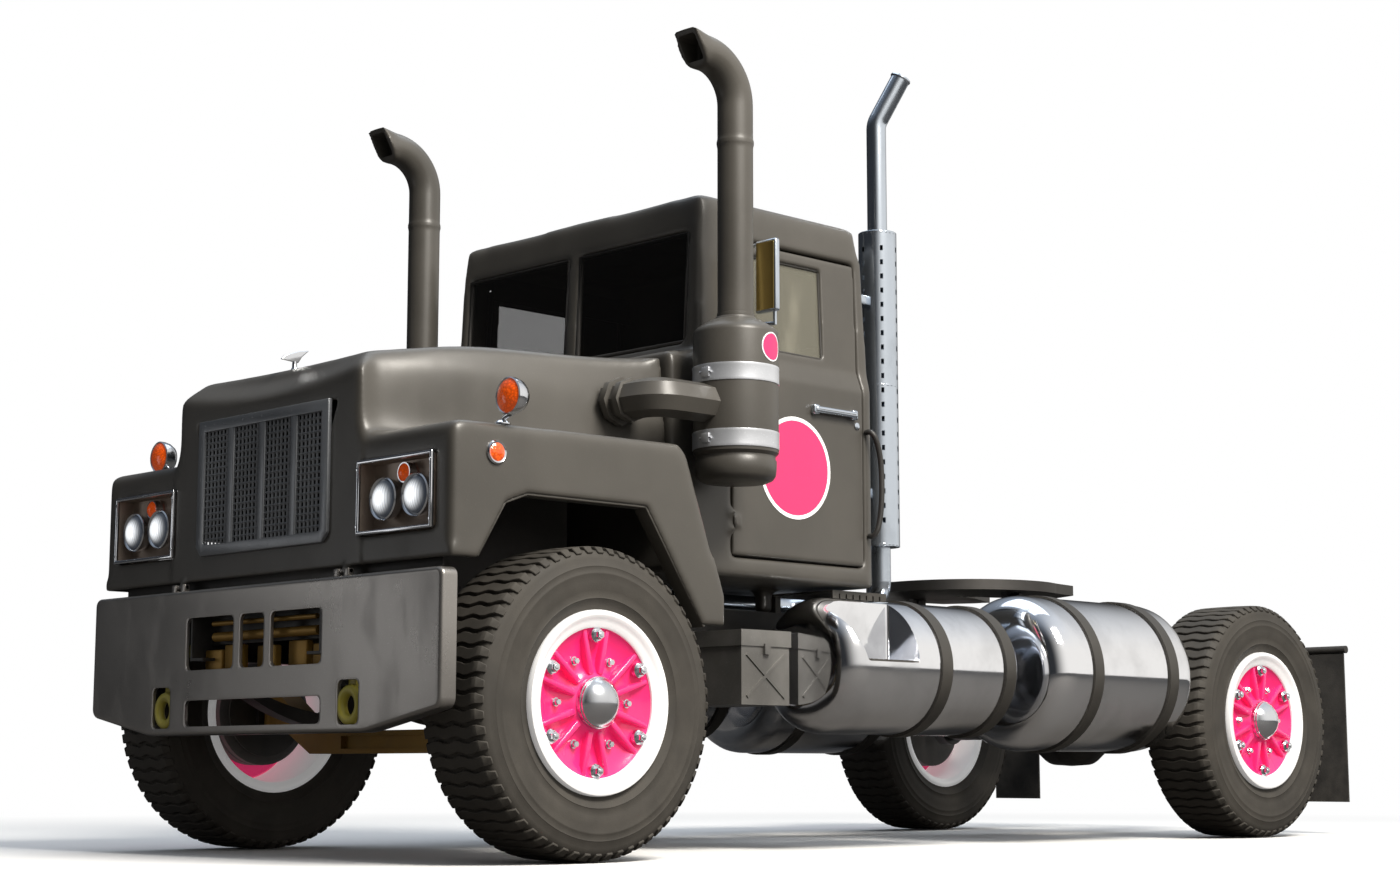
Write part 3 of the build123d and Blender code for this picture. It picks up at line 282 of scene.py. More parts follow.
# Near-black painted shade, laid across the exhaust's bore
bore_painted_shade = coated("bore_painted_shade", (0.006, 0.006, 0.006), 0.7, dust=0.0)
brake_grey = coated("brake_grey", (0.05, 0.048, 0.046), 0.5, dust=0.5, peel=0.0008)
band_metal = coated("band_metal", (0.62, 0.64, 0.68), 0.30, spread=0.08, dust=0.1, Metallic=0.6)
tray_bronze = coated("tray_bronze", (0.34, 0.27, 0.22), 0.30, spread=0.2, dust=0.05, Metallic=0.35)

slot_of = {row["node"]: row["material_slot"] for row in frame["record"]["subparts"]}
for node_name, node in frame["nodes"].items():
    node.data.materials.clear()
    node.data.materials.append(FINISHES[slot_of[node_name]])


# ---------------------------------------------------------------- bench tools

def clear_bench():
    """Leaves edit mode with nothing selected."""
    if bpy.context.mode != "OBJECT":
        bpy.ops.object.mode_set(mode="OBJECT")
    bpy.ops.object.select_all(action="DESELECT")


def pick(piece):
    """Selects one piece alone."""
    clear_bench()
    piece.select_set(True)
    bpy.context.view_layer.objects.active = piece
    return piece


def settle(piece):
    """Puts a piece's place into its mesh."""
    pick(piece)
    bpy.ops.object.transform_apply(location=True, rotation=True, scale=True)
    return piece


def modify(piece, kind, **settings):
    """Adds a modifier and applies it."""
    pick(piece)
    added = piece.modifiers.new(kind, kind)
    for key, value in settings.items():
        setattr(added, key, value)
    bpy.ops.object.modifier_apply(modifier=added.name)
    return piece


def smooth(piece, angle=35):
    pick(piece)
    bpy.ops.object.shade_smooth_by_angle(angle=radians(angle))
    return piece


def rounded(piece, width=0.003, segments=2, angle=30):
    """Breaks the edges that are sharper than an angle."""
    modify(piece, "BEVEL", width=width, segments=segments, limit_method="ANGLE",
           angle_limit=radians(angle), use_clamp_overlap=True)
    return smooth(piece)


def block(name, low, high, width=0.003, segments=2):
    """A block between two corners with its edges broken."""
    clear_bench()
    bpy.ops.mesh.primitive_cube_add(size=1, location=(Vector(low) + Vector(high)) / 2)
    piece = bpy.context.object
    piece.name = name
    piece.scale = [abs(a - b) for a, b in zip(low, high)]
    return rounded(settle(piece), width, segments)


def chain(name, points, closed):
    """A run of edges through points, filled with a face where it closes."""
    clear_bench()
    bpy.ops.mesh.primitive_plane_add(size=0.01, location=(0, 0, 0))
    piece = bpy.context.object
    piece.name = name
    bpy.ops.object.mode_set(mode="EDIT")
    bpy.ops.mesh.select_mode(type="VERT")
    bpy.ops.mesh.merge(type="CENTER")
    bpy.ops.mesh.select_all(action="SELECT")
    bpy.ops.transform.translate(value=points[0])
    for before, after in zip(points, points[1:]):
        bpy.ops.mesh.extrude_vertices_move(TRANSFORM_OT_translate={"value": Vector(after) - Vector(before)})
    bpy.ops.mesh.select_all(action="SELECT")
    if closed:
        bpy.ops.mesh.edge_face_add()
    return piece


def face_outline(points, y):
    """Points across and up, on a plane that faces forward."""
    return [at(x, y, z) for x, z in points]


def plate(name, points, thick, width=0.002, segments=2):
    """A closed outline pushed along a vector."""
    piece = chain(name, points, True)
    bpy.ops.mesh.extrude_region_move(TRANSFORM_OT_translate={"value": thick})
    bpy.ops.mesh.select_all(action="SELECT")
    bpy.ops.mesh.normals_make_consistent(inside=False)
    clear_bench()
    return rounded(piece, width, segments)


def framed(name, outline, border, depth, width=0.003):
    """A flat frame: an outline with its middle taken out, pushed back by a depth along Y."""
    piece = chain(name, outline, True)
    bpy.ops.mesh.select_mode(type="FACE")
    bpy.ops.mesh.inset(thickness=border, depth=0)
    bpy.ops.mesh.delete(type="FACE")
    bpy.ops.mesh.select_all(action="SELECT")
    bpy.ops.mesh.extrude_region_move(TRANSFORM_OT_translate={"value": (0, depth, 0)})
    bpy.ops.mesh.select_all(action="SELECT")
    bpy.ops.mesh.normals_make_consistent(inside=False)
    clear_bench()
    return rounded(piece, width, 2)


def turned(name, centre, axis, profile, steps=48, angle=35):
    """A profile of (radius, height) points spun about an axis."""
    piece = chain(name, [(radius, 0, height) for radius, height in profile], False)
    bpy.ops.mesh.spin(steps=steps, angle=tau, center=(0, 0, 0), axis=(0, 0, 1))
    bpy.ops.mesh.select_all(action="SELECT")
    bpy.ops.mesh.remove_doubles(threshold=0.00002)
    bpy.ops.mesh.normals_make_consistent(inside=False)
    clear_bench()
    turn = Vector((0, 0, 1)).rotation_difference(Vector(axis)).to_matrix().to_4x4()
    piece.matrix_world = Matrix.Translation(centre) @ turn
    settle(piece)
    return smooth(piece, angle)


def tube(name, points, radius, smooth_run=True, sides=4):
    """A round bar along points."""
    curve = bpy.data.curves.new(name, "CURVE")
    curve.dimensions = "3D"
    curve.bevel_depth = radius
    curve.bevel_resolution = sides
    curve.use_fill_caps = True
    curve.resolution_u = 6
    run = curve.splines.new("NURBS" if smooth_run else "POLY")
    run.points.add(len(points) - 1)
    for point, place in zip(run.points, points):
        point.co = (*place, 1)
    run.order_u = 3
    run.use_endpoint_u = True
    piece = bpy.data.objects.new(name, curve)
    bpy.context.scene.collection.objects.link(piece)
    pick(piece)
    bpy.ops.object.convert(target="MESH")
    return smooth(bpy.context.object)


def copied(piece, name, place):
    """A copy with its own mesh, moved by a matrix."""
    new = piece.copy()
    new.data = piece.data.copy()
    new.name = name
    new.data.transform(place)
    bpy.context.scene.collection.objects.link(new)
    return new


def joined(name, parts):
    """Several pieces made one mesh, under one name."""
    clear_bench()
    for part in parts:
        part.select_set(True)
    bpy.context.view_layer.objects.active = parts[0]
    if len(parts) > 1:
        bpy.ops.object.join()
    parts[0].name = name
    return parts[0]


def repeated(piece, places):
    """One piece made of copies at several places; the pattern itself is used up."""
    parts = [copied(piece, piece.name + "_copy", place) for place in places]
    name = piece.name
    bpy.data.objects.remove(piece)
    return joined(name, parts)


FLIP = Matrix.Scale(-1, 4, (1, 0, 0))


def paired(piece):
    """A piece joined with its mirror image on the vehicle's other side."""
    other = copied(piece, piece.name + "_other", FLIP)
    other.data.flip_normals()
    return joined(piece.name, [piece, other])


def finished(piece, body, slot, material=None, replaces=()):
    """Gives a piece its finish and the body that it moves with."""
    piece.data.materials.clear()
    piece.data.materials.append(material or FINISHES[slot])
    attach(piece, body)
    if replaces:
        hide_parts(*replaces)
    return piece


def round_turns(count, start=0.0):
    """Turns about the X axis, evenly round."""
    return [Matrix.Rotation(start + tau * index / count, 4, "X") for index in range(count)]


def softened(name, nodes, voxel, rounds, keep, wide_rounds=0, holds=None, reshape=None):
    """A copy of solids with their corners worn round, as pressed or moulded panels have them.

    The wide rounds leave out the points that holds names, such as rims and window openings."""
    parts = []
    for node_name in nodes:
        source = frame["nodes"][node_name]
        part = bpy.data.objects.new(name, source.data.copy())
        bpy.context.scene.collection.objects.link(part)
        parts.append(part)
    piece = joined(name, parts)
    pick(piece)
    bpy.ops.object.mode_set(mode="EDIT")
    bpy.ops.mesh.select_all(action="SELECT")
    bpy.ops.mesh.remove_doubles(threshold=0.00005)
    clear_bench()
    modify(piece, "REMESH", mode="VOXEL", voxel_size=voxel, adaptivity=0.0)
    if reshape:
        for corner in piece.data.vertices:
            corner.co = at(*reshape(corner.co.x, corner.co.y - AXLE_Y, corner.co.z))
    if wide_rounds:
        free = piece.vertex_groups.new(name="free")
        free.add([corner.index for corner in piece.data.vertices
                  if not holds(corner.co.x, corner.co.y - AXLE_Y, corner.co.z)], 1.0, "REPLACE")
        modify(piece, "SMOOTH", factor=0.5, iterations=wide_rounds, vertex_group="free")
        piece.vertex_groups.clear()
    modify(piece, "SMOOTH", factor=0.5, iterations=rounds)
    if keep < 1:
        modify(piece, "DECIMATE", ratio=keep)
    return smooth(piece, 60)


# ---------------------------------------------------------------- cab and hood panels

ARCH = [(-0.505, 0.938), (-0.505, 0.974), (-0.388, 1.168), (-0.295, 1.202), (0.240, 1.202), (0.530, 0.775)]


def off_arch(y, z):
    """How far a point is from the wheel arch's outline, seen from the side."""
    spot, nearest = Vector((y, z)), 9.0
    for start, end in zip(ARCH, ARCH[1:]):
        start, run = Vector(start), Vector(end) - Vector(start)
        along = max(0.0, min(1.0, (spot - start).dot(run) / run.length_squared))
        nearest = min(nearest, (spot - start - run * along).length)
    return nearest


def ramp(low, high, value):
    """0 below one level, 1 above another, smooth in the middle."""
    share = max(0.0, min(1.0, (value - low) / (high - low)))
    return share * share * (3 - 2 * share)


def hood_rim(x, y, z):
    """Whether a point is near the hood's edges and openings, which stay crisp."""
    x = abs(x)
    openings = y < -0.55 and (x < 0.44 and 1.03 < z < 1.60 or 0.53 < x < 1.00 and 1.04 < z < 1.36)
    return y > 0.57 or openings or z < 0.85 or (y < -0.3 and z < 1.02) or (x > 0.3 and off_arch(y, z) < 0.05)


def cab_rim(x, y, z):
    """Whether a point is near the cab's edges and openings, which stay crisp."""
    x = abs(x)
    door = x > 0.6 and 0.90 < y < 1.76 and 1.05 < z < 2.37
    screen = x < 0.70 and 1.87 < z < 2.37 and y < 0.95
    rear = x < 0.46 and y > 1.6 and 1.9 < z < 2.3
    return door or screen or rear or y < 0.70 or z < 1.05


def flatter_roof(x, y, z):
    """Lifts the roof's edges, which stand nearly as high as its middle."""
    return x, y, z + 0.024 * ramp(2.38, 2.46, z) * (x / 0.7) ** 2


finished(softened("cab_body", ["cab_floor", "cab_roof", "cab_back", "cab_front_panel", "cab_sides"],
                  0.013, 5, 0.35, 45, cab_rim, flatter_roof), "chassis", "body_paint",
         replaces=("cab_floor", "cab_roof", "cab_back", "cab_front_panel", "cab_sides"))
for side in ("left", "right"):
    finished(softened("door_skin_" + side, ["door_" + side], 0.008, 4, 0.5), side + "_door", "body_paint",
             replaces=("door_" + side,))


def squarer_nose(x, y, z):
    """Brings the nose's upper corners out and up, so that its front stands nearly square."""
    wide = ramp(1.42, 1.66, z) * (1 - ramp(-0.55, 0.60, y)) * min(1.0, abs(x) / 0.42)
    lift = ramp(1.50, 1.64, z) * (1 - ramp(-0.30, 0.55, y)) * min(1.0, abs(x) / 0.5) ** 2
    return x + (0.085 if x > 0 else -0.085) * wide, y, z + 0.052 * lift


hood_skin = softened("hood_skin", ["hood_shell"], 0.009, 6, 0.4, 50, hood_rim, squarer_nose)
finished(hood_skin, "hood", "body_paint", replaces=("hood_shell",))

# Rolled lips round the wheel arches, turned in towards the wheel
lip_run = [Vector((y, z)) for y, z in [(-0.503, 0.984)] + ARCH[2:5] + [(0.522, 0.800)]]
lip = chain("arch_lip", [at(1.052, y, z) for y, z in lip_run], False)
bpy.ops.mesh.extrude_region_move(TRANSFORM_OT_translate={"value": (-0.062, 0, 0)})
clear_bench()
modify(lip, "SOLIDIFY", thickness=0.011, offset=0.0)
modify(lip, "BEVEL", width=0.004, segments=3, limit_method="ANGLE", angle_limit=radians(60))
finished(paired(smooth(lip, 50)), "hood", "body_paint")

# ---------------------------------------------------------------- bumper and tow rings

# The bumper's face and openings, each opening as its two sides, foot and top
BUMPER_Y = -0.6518
BUMPER_OUTLINE = [(-1.060, 0.945), (1.060, 0.945), (1.060, 0.500), (0.655, 0.425), (-0.655, 0.425),
                  (-1.060, 0.500)]
OPENINGS = ((-0.085, 0.085, 0.645, 0.855), (0.103, 0.425, 0.645, 0.855), (-0.425, -0.103, 0.645, 0.855),
            (0.500, 0.640, 0.440, 0.610), (-0.640, -0.500, 0.440, 0.610), (-0.425, 0.425, 0.445, 0.560))
FOLD_DEPTH = 0.062

bumper = chain("bumper_skin", face_outline(BUMPER_OUTLINE, BUMPER_Y), True)
bpy.ops.mesh.bevel(offset=0.030, segments=5, affect="VERTICES")
bpy.ops.mesh.select_all(action="SELECT")
bpy.ops.mesh.extrude_region_move(TRANSFORM_OT_translate={"value": (0, FOLD_DEPTH, 0)})
bpy.ops.mesh.delete(type="ONLY_FACE")
bpy.ops.mesh.select_all(action="SELECT")
bpy.ops.mesh.normals_make_consistent(inside=False)
clear_bench()
modify(bumper, "BEVEL", width=0.014, segments=5, limit_method="ANGLE", angle_limit=radians(60))
modify(bumper, "SOLIDIFY", thickness=0.007, offset=-1.0)
slot_trims = []
for x0, x1, z0, z1 in OPENINGS:
    opening = block("opening", at(x0 + 0.004, BUMPER_Y - 0.05, z0 + 0.004),
                    at(x1 - 0.004, BUMPER_Y + 0.05, z1 - 0.004), 0.026, 5)
    modify(bumper, "BOOLEAN", object=opening, operation="DIFFERENCE", solver="EXACT")
    bpy.data.objects.remove(opening)
    trim = block("slot_trim", at(x0, BUMPER_Y + 0.001, z0), at(x1, BUMPER_Y + 0.014, z1), 0.0005, 1)
    hollow = block("hollow", at(x0 + 0.012, BUMPER_Y - 0.05, z0 + 0.011),
                   at(x1 - 0.012, BUMPER_Y + 0.07, z1 - 0.011), 0.022, 5)
    modify(trim, "BOOLEAN", object=hollow, operation="DIFFERENCE", solver="EXACT")
    bpy.data.objects.remove(hollow)
    slot_trims.append(rounded(trim, 0.0035, 3))

# Hinge ears on the bumper's top, each pair with its pin
hinge_parts = []
for side in (-1, 1):
    for inner in (0.458, 0.516):
        hinge_parts.append(block("hinge_ear", at(side * inner, -0.640, 0.938),
                                 at(side * (inner + 0.026), -0.614, 0.970), 0.003))
    pin_run = [at(side * x, -0.627, 0.961) for x in (0.458, 0.542)]
    hinge_parts.append(tube("hinge_pin", pin_run, 0.007, False))
finished(joined("bumper_skin", [smooth(bumper)] + hinge_parts), "chassis", "bumper_metal",
         replaces=("bumper",))
finished(joined("slot_trims", slot_trims), "chassis", "bumper_metal")

# Tow rings close behind the outer openings, on arms from the rails
tow_parts = []
for side in (-1, 1):
    clear_bench()
    bpy.ops.mesh.primitive_torus_add(location=at(side * 0.562, -0.631, 0.515), rotation=(pi / 2, 0, 0),
                                     major_radius=0.050, minor_radius=0.0185, major_segments=40,
                                     minor_segments=14)
    tow_parts.append(smooth(settle(bpy.context.object), 80))
    for name, inner, foot in (("tow_arm", 0.540, 0.560), ("tow_root", 0.400, 0.705)):
        tow_parts.append(block(name, at(side * inner, -0.628, foot), at(side * 0.584, -0.600, 0.750), 0.004))
finished(joined("tow_rings", tow_parts), "chassis", "tow_yellow", replaces=("tow_eyes",))

# The dark cross panel behind the gap between bumper and hood
gap_panel = block("gap_panel", at(-0.960, -0.572, 0.890), at(0.960, -0.566, 0.990), 0.002)
finished(gap_panel, "chassis", "frame_paint")

# ---------------------------------------------------------------- wheels and tyres

# Everything on a wheel is drawn with its middle at the origin and its outer side towards +X
def on_wheel(name, profile, steps=48, angle=35, out=0.0):
    """A profile spun about the wheel's axle, or about a line that is out from it."""
    return turned(name, (0, 0, out), (1, 0, 0), profile, steps, angle)


BEAD = 0.2866
tyre_side = [
    (BEAD, 0.128), (0.300, 0.137), (0.320, 0.141), (0.332, 0.149), (0.345, 0.155), (0.348, 0.158),
    (0.351, 0.156), (0.375, 0.161), (0.405, 0.1645), (0.428, 0.1640), (0.431, 0.1650), (0.434, 0.1635),
    (0.452, 0.161), (0.455, 0.162), (0.458, 0.160), (0.480, 0.156), (0.497, 0.150), (0.507, 0.140),
    (0.5115, 0.125), (0.5125, 0.06)]
carcass = tyre_side + [(radius, -across) for radius, across in reversed(tyre_side)] + [tyre_side[0]]
tyre_shell = on_wheel("tyre_shell", carcass, 96, 50)

LUGS, LUG_TOP, LUG_LENGTH, LUG_WIDTH = 64, 0.5245, 0.312, 0.037
clear_bench()
bpy.ops.mesh.primitive_grid_add(x_subdivisions=14, y_subdivisions=1, size=1, location=(0, 0, LUG_TOP))
tread_lug = bpy.context.object
tread_lug.name = "tread_lug"
tread_lug.scale = (LUG_LENGTH, LUG_WIDTH, 1)
settle(tread_lug)
for corner in tread_lug.data.vertices:
    edge = max(0.0, abs(corner.co.x) - 0.128)
    corner.co.y += 0.0055 * sin(corner.co.x * tau / 0.104) * (1 - edge * 20)
    corner.co.y *= 1 - edge * 12
    corner.co.z -= edge * edge * 26 + 0.002 * (corner.co.x / 0.13) ** 2
modify(tread_lug, "SOLIDIFY", thickness=0.017, offset=-1.0)
rounded(tread_lug, 0.0022, 1)
tread = repeated(tread_lug, round_turns(LUGS))
tyre = joined("tyre", [tyre_shell, tread])

rim_ring = on_wheel("rim_ring", [
    (0.2850, 0.120), (0.2850, 0.131), (0.305, 0.1315), (0.3095, 0.138), (0.3095, 0.150), (0.306, 0.1610),
    (0.299, 0.1638), (0.290, 0.1620), (0.281, 0.1540), (0.270, 0.1480), (0.256, 0.1450), (0.250, 0.1400),
    (0.2500, 0.126), (0.262, 0.112), (0.2640, 0.05), (0.2640, -0.10), (0.270, -0.132), (0.288, -0.143),
    (0.303, -0.1438), (0.3095, -0.140), (0.3095, -0.134), (0.300, -0.131), (0.2850, -0.128), (0.2850, 0.120)],
    72, 40)
rim_disc = on_wheel("rim_disc", [
    (0.2630, 0.106), (0.2560, 0.131), (0.250, 0.1330), (0.238, 0.1270), (0.215, 0.1130), (0.160, 0.1040),
    (0.125, 0.1080), (0.105, 0.1200), (0.094, 0.1290), (0.080, 0.1300), (0.060, 0.1300), (0.060, 0.09),
    (0.12, 0.086), (0.20, 0.092), (0.255, 0.096), (0.2630, 0.106)], 72, 40)


def spoke_ridge(name, angle):
    """One tapered ridge of a spoke, leaning out from its pair."""
    outline = [(0.100, -0.012, 0.096), (0.100, 0.012, 0.096), (0.100, 0.009, 0.248), (0.100, -0.009, 0.248)]
    ridge = plate(name, outline, (0.030, 0, 0), 0.0065, 3)
    for corner in ridge.data.vertices:
        if corner.co.x > 0.11:
            outward = (corner.co.z - 0.096) / 0.152
            corner.co.x += 0.005 * (1 - outward) + 0.004 * outward
    ridge.data.transform(Matrix.Rotation(angle, 4, "X"))
    return ridge


spoke = joined("spoke", [spoke_ridge("ridge_a", radians(12)), spoke_ridge("ridge_b", radians(-12))])
disc = joined("disc", [rim_disc, repeated(spoke, round_turns(6))])

hub_profile = [(0.087, 0.124), (0.087, 0.148), (0.084, 0.151), (0.084, 0.158), (0.080, 0.1615)]
BALL, BALL_MIDDLE = 0.0972, 0.1065
hub_profile += [(BALL * sin(angle), BALL_MIDDLE + BALL * cos(angle)) for angle in
                [radians(degrees) for degrees in (52, 44, 36, 28, 20, 12, 5, 0)]]
hub_cap = on_wheel("hub_cap", [(0.0, 0.124)] + hub_profile, 48, 30)

# Six rim clamps stand on the outer circle and six small nuts on the inner one
CLAMP_OUT, SMALL_OUT = 0.226, 0.158
foot = [(0.0, 0.118), (0.026, 0.122), (0.026, 0.136), (0.021, 0.142), (0.0, 0.142)]
nut = [(0.0, 0.142), (0.0165, 0.142), (0.0165, 0.155), (0.014, 0.158), (0.0, 0.158)]
stud = [(0.0, 0.158), (0.008, 0.158), (0.008, 0.1595), (0.0, 0.1600)]
clamp = joined("clamp", [on_wheel("clamp_foot", foot, 16, out=CLAMP_OUT),
                         on_wheel("clamp_nut", nut, 6, 20, CLAMP_OUT),
                         on_wheel("clamp_stud", stud, 12, out=CLAMP_OUT)])
washer = [(0.0, 0.100), (0.015, 0.100), (0.015, 0.112), (0.0, 0.112)]
hexagon = [(0.0, 0.112), (0.0125, 0.112), (0.0125, 0.124), (0.010, 0.127), (0.0, 0.127)]
small_nut = joined("small_nut", [on_wheel("nut_washer", washer, 14, out=SMALL_OUT),
                                 on_wheel("nut_hexagon", hexagon, 6, 20, SMALL_OUT)])
nut_circles = [repeated(clamp, round_turns(6)), repeated(small_nut, round_turns(6, pi / 6))]
wheel_nuts = joined("wheel_nuts", nut_circles)
brake_drum = on_wheel("brake_drum", [
    (0.043, -0.056), (0.070, -0.056), (0.190, -0.061), (0.204, -0.056), (0.204, -0.030), (0.198, -0.024),
    (0.204, -0.018), (0.204, 0.028), (0.130, 0.038), (0.112, 0.088), (0.060, 0.094), (0.043, 0.092),
    (0.043, -0.056)])

for side, turn in (("left", 0), ("right", pi)):
    for end, station in (("front", 0), ("rear", WHEELBASE)):
        spot = end + "_" + side
        hub = at(HUB_X if side == "left" else -HUB_X, station, HUB_Z)
        place = Matrix.Translation(hub) @ Matrix.Rotation(turn, 4, "Z")
        rider = spot + "_wheel"
        finished(copied(tyre, "tread_and_wall_" + spot, place), rider, "tyre_rubber",
                 replaces=("tyre_" + spot,))
        # The rings' white and the discs' pink both glow faintly: painted light
        finished(copied(rim_ring, "wheel_ring_" + spot, place), rider, "wheel_pink", wheel_white_painted_glow,
                 ("rim_" + spot,))
        finished(copied(disc, "wheel_disc_" + spot, place), rider, "wheel_pink")
        finished(copied(hub_cap, "hub_cap_" + spot, place), rider, "lamp_chrome")
        finished(copied(wheel_nuts, "wheel_nuts_" + spot, place), rider, "lamp_chrome")
        finished(copied(brake_drum, "brake_drum_" + spot, place), rider, "frame_paint", brake_grey)
for pattern in (tyre, rim_ring, disc, hub_cap, wheel_nuts, brake_drum):
    bpy.data.objects.remove(pattern)

# ---------------------------------------------------------------- grille

# Where the hood's face stands, and the grille's half width, foot and top
FACE_Y = -0.620
half, low, high = 0.402, 1.066, 1.558
BAY_WIDTH, MESH_WIRE = 0.164, 0.0105
surround_outline = [(-half + 0.03, low), (half - 0.03, low), (half, low + 0.034), (half, high), (-half, high),
                    (-half, low + 0.034)]
surround = framed("grille_surround", face_outline(surround_outline, FACE_Y - 0.0135), 0.040, 0.016, 0.0035)
rivet = turned("grille_rivet", (0, 0, 0), (0, -1, 0),
               [(0.0045, -0.002), (0.0045, 0.0), (0.0034, 0.0014), (0.0, 0.0018)], 10)
rivet_places = []
for index in range(13):
    x = -half + 0.040 + index * (2 * half - 0.080) / 12
    rivet_places += [(x, high - 0.018), (x, low + 0.018)]
for index in range(8):
    z = low + 0.055 + index * (high - low - 0.10) / 7
    rivet_places += [(-half + 0.018, z), (half - 0.018, z)]
rivets = repeated(rivet, [Matrix.Translation(at(x, FACE_Y - 0.0125, z)) for x, z in rivet_places])
BAR_HALF = 0.019
bars = [block("grille_bar", at(x - BAR_HALF, FACE_Y - 0.012, low + 0.03),
              at(x + BAR_HALF, FACE_Y + 0.004, high - 0.03), 0.005, 3)
        for x in (-0.194, 0.0, 0.194)]
finished(joined("grille_frame", [surround, rivets] + bars), "hood", "grille_metal", replaces=("grille",))

mesh_parts = []
for x in (-0.291, -0.097, 0.097, 0.291):
    clear_bench()
    bpy.ops.mesh.primitive_grid_add(x_subdivisions=7, y_subdivisions=18, size=1,
                                    location=at(x, FACE_Y - 0.001, (low + high) / 2), rotation=(pi / 2, 0, 0))
    bay = bpy.context.object
    bay.name = "grille_bay"
    bay.scale = (BAY_WIDTH, high - low - 0.072, 1)
    settle(bay)
    modify(bay, "WIREFRAME", thickness=MESH_WIRE, use_even_offset=True, use_boundary=True)
    mesh_parts.append(bay)
finished(smooth(joined("grille_mesh", mesh_parts)), "hood", "grille_metal")

# ---------------------------------------------------------------- lamps

LAMP_LOW, LAMP_HIGH, LAMP_IN, LAMP_OUT = 1.074, 1.326, 0.564, 0.972


def dome_profile(radius, rise, foot):
    """Points from a dome's rim to its pole."""
    ball = (radius * radius + rise * rise) / (2 * rise)
    full = asin(min(1.0, radius / ball))
    return [(ball * sin(full * part), foot + rise - ball * (1 - cos(full * part))) for part in
            (1, 0.85, 0.7, 0.55, 0.4, 0.25, 0.1)] + [(0.0, foot + rise)]


# A lamp unit is a frame and an open tray behind it
bezel_outline = [(LAMP_IN, LAMP_LOW), (LAMP_OUT, LAMP_LOW), (LAMP_OUT, LAMP_HIGH), (LAMP_IN, LAMP_HIGH)]
bezel = framed("lamp_bezel", face_outline(bezel_outline, FACE_Y - 0.0135), 0.013, 0.016, 0.005)
clear_bench()
tray_centre = at((LAMP_IN + LAMP_OUT) / 2, FACE_Y + 0.025, (LAMP_LOW + LAMP_HIGH) / 2)
bpy.ops.mesh.primitive_cube_add(size=1, location=tray_centre)
tray = bpy.context.object
tray.name = "lamp_tray"
tray.scale = (LAMP_OUT - LAMP_IN - 0.022, 0.070, LAMP_HIGH - LAMP_LOW - 0.022)
settle(tray)
bpy.ops.object.mode_set(mode="EDIT")
bpy.ops.mesh.select_mode(type="FACE")
bpy.ops.mesh.select_all(action="DESELECT")
bpy.ops.object.mode_set(mode="OBJECT")
for face in tray.data.polygons:
    face.select = face.normal.y < -0.5
bpy.ops.object.mode_set(mode="EDIT")
bpy.ops.mesh.delete(type="ONLY_FACE")
clear_bench()
modify(tray, "SOLIDIFY", thickness=0.004, offset=1.0)
rounded(tray, 0.0015)

# Each lamp's place across, its height and its radius, and the amber lamp over them
LAMPS = ((0.690, 1.190, 0.069), (0.862, 1.190, 0.069))
AMBER = at(0.775, FACE_Y + 0.056, 1.272)
lamp_rings, lamp_domes = [], []
for x, z, radius in LAMPS:
    spot = at(x, FACE_Y + 0.056, z)
    lamp_rings.append(turned("lamp_ring", spot, (0, -1, 0), [
        (0.030, 0.0), (radius - 0.012, 0.004), (radius - 0.002, 0.020), (radius + 0.003, 0.042),
        (radius + 0.004, 0.050), (radius, 0.054), (radius - 0.006, 0.050), (radius - 0.010, 0.040),
        (0.030, 0.006), (0.030, 0.0)], 40))
    lamp_domes.append(turned("lamp_dome", spot, (0, -1, 0), dome_profile(radius - 0.004, 0.026, 0.046), 40))
amber_ring = turned("amber_ring", AMBER, (0, -1, 0), [
    (0.026, 0.0), (0.030, 0.030), (0.034, 0.030), (0.035, 0.0), (0.026, 0.0)], 28)
amber_dome = turned("amber_dome", AMBER, (0, -1, 0), dome_profile(0.0295, 0.016, 0.028), 28)
screw = turned("lamp_screw", (0, 0, 0), (0, -1, 0), [(0.0055, 0.0), (0.0055, 0.002), (0.0, 0.003)], 8)
screws = repeated(screw, [Matrix.Translation(at(x, FACE_Y - 0.0128, z))
                          for x in (LAMP_IN + 0.007, LAMP_OUT - 0.007)
                          for z in (LAMP_LOW + 0.03, LAMP_HIGH - 0.03)])
finished(paired(joined("headlamp_bezels", [bezel, amber_ring, screws] + lamp_rings)), "hood", "lamp_chrome",
         replaces=("headlamps",))
finished(paired(tray), "hood", "lamp_chrome", tray_bronze)
finished(paired(joined("headlamp_domes", lamp_domes)), "hood", "lamp_chrome",
         lit("headlamp_glass", [(x, z) for x, z, radius in LAMPS]))
finished(paired(amber_dome), "hood", "amber_lens")

# Stalk lamps on top of the fenders, and round markers on their sides
STALK = at(1.064, -0.364, 1.517)
MARKER = at(1.0585, -0.438, 1.326)
stalk_shell = turned("stalk_shell", STALK, (0, -1, 0), [
    (0.0, -0.036), (0.026, -0.034), (0.046, -0.024), (0.057, -0.006), (0.0615, 0.012), (0.0625, 0.030),
    (0.0590, 0.0335), (0.0550, 0.030), (0.0, 0.026)], 36)
stalk_arm = tube("stalk_arm", [at(1.000, -0.364, 1.425), at(1.004, -0.364, 1.452), at(1.040, -0.364, 1.462),
                               at(1.062, -0.364, 1.468), at(1.064, -0.364, 1.486)], 0.0095)
stalk_foot = turned("stalk_foot", at(1.000, -0.364, 1.431), (0, 0, 1),
                    [(0.0, 0.0), (0.028, 0.0), (0.028, 0.004), (0.018, 0.012), (0.0, 0.012)], 24)
marker_ring = turned("marker_ring", MARKER, (1, 0, 0), [
    (0.0, 0.0), (0.040, 0.0), (0.040, 0.007), (0.036, 0.0125), (0.031, 0.010), (0.0, 0.008)], 32)
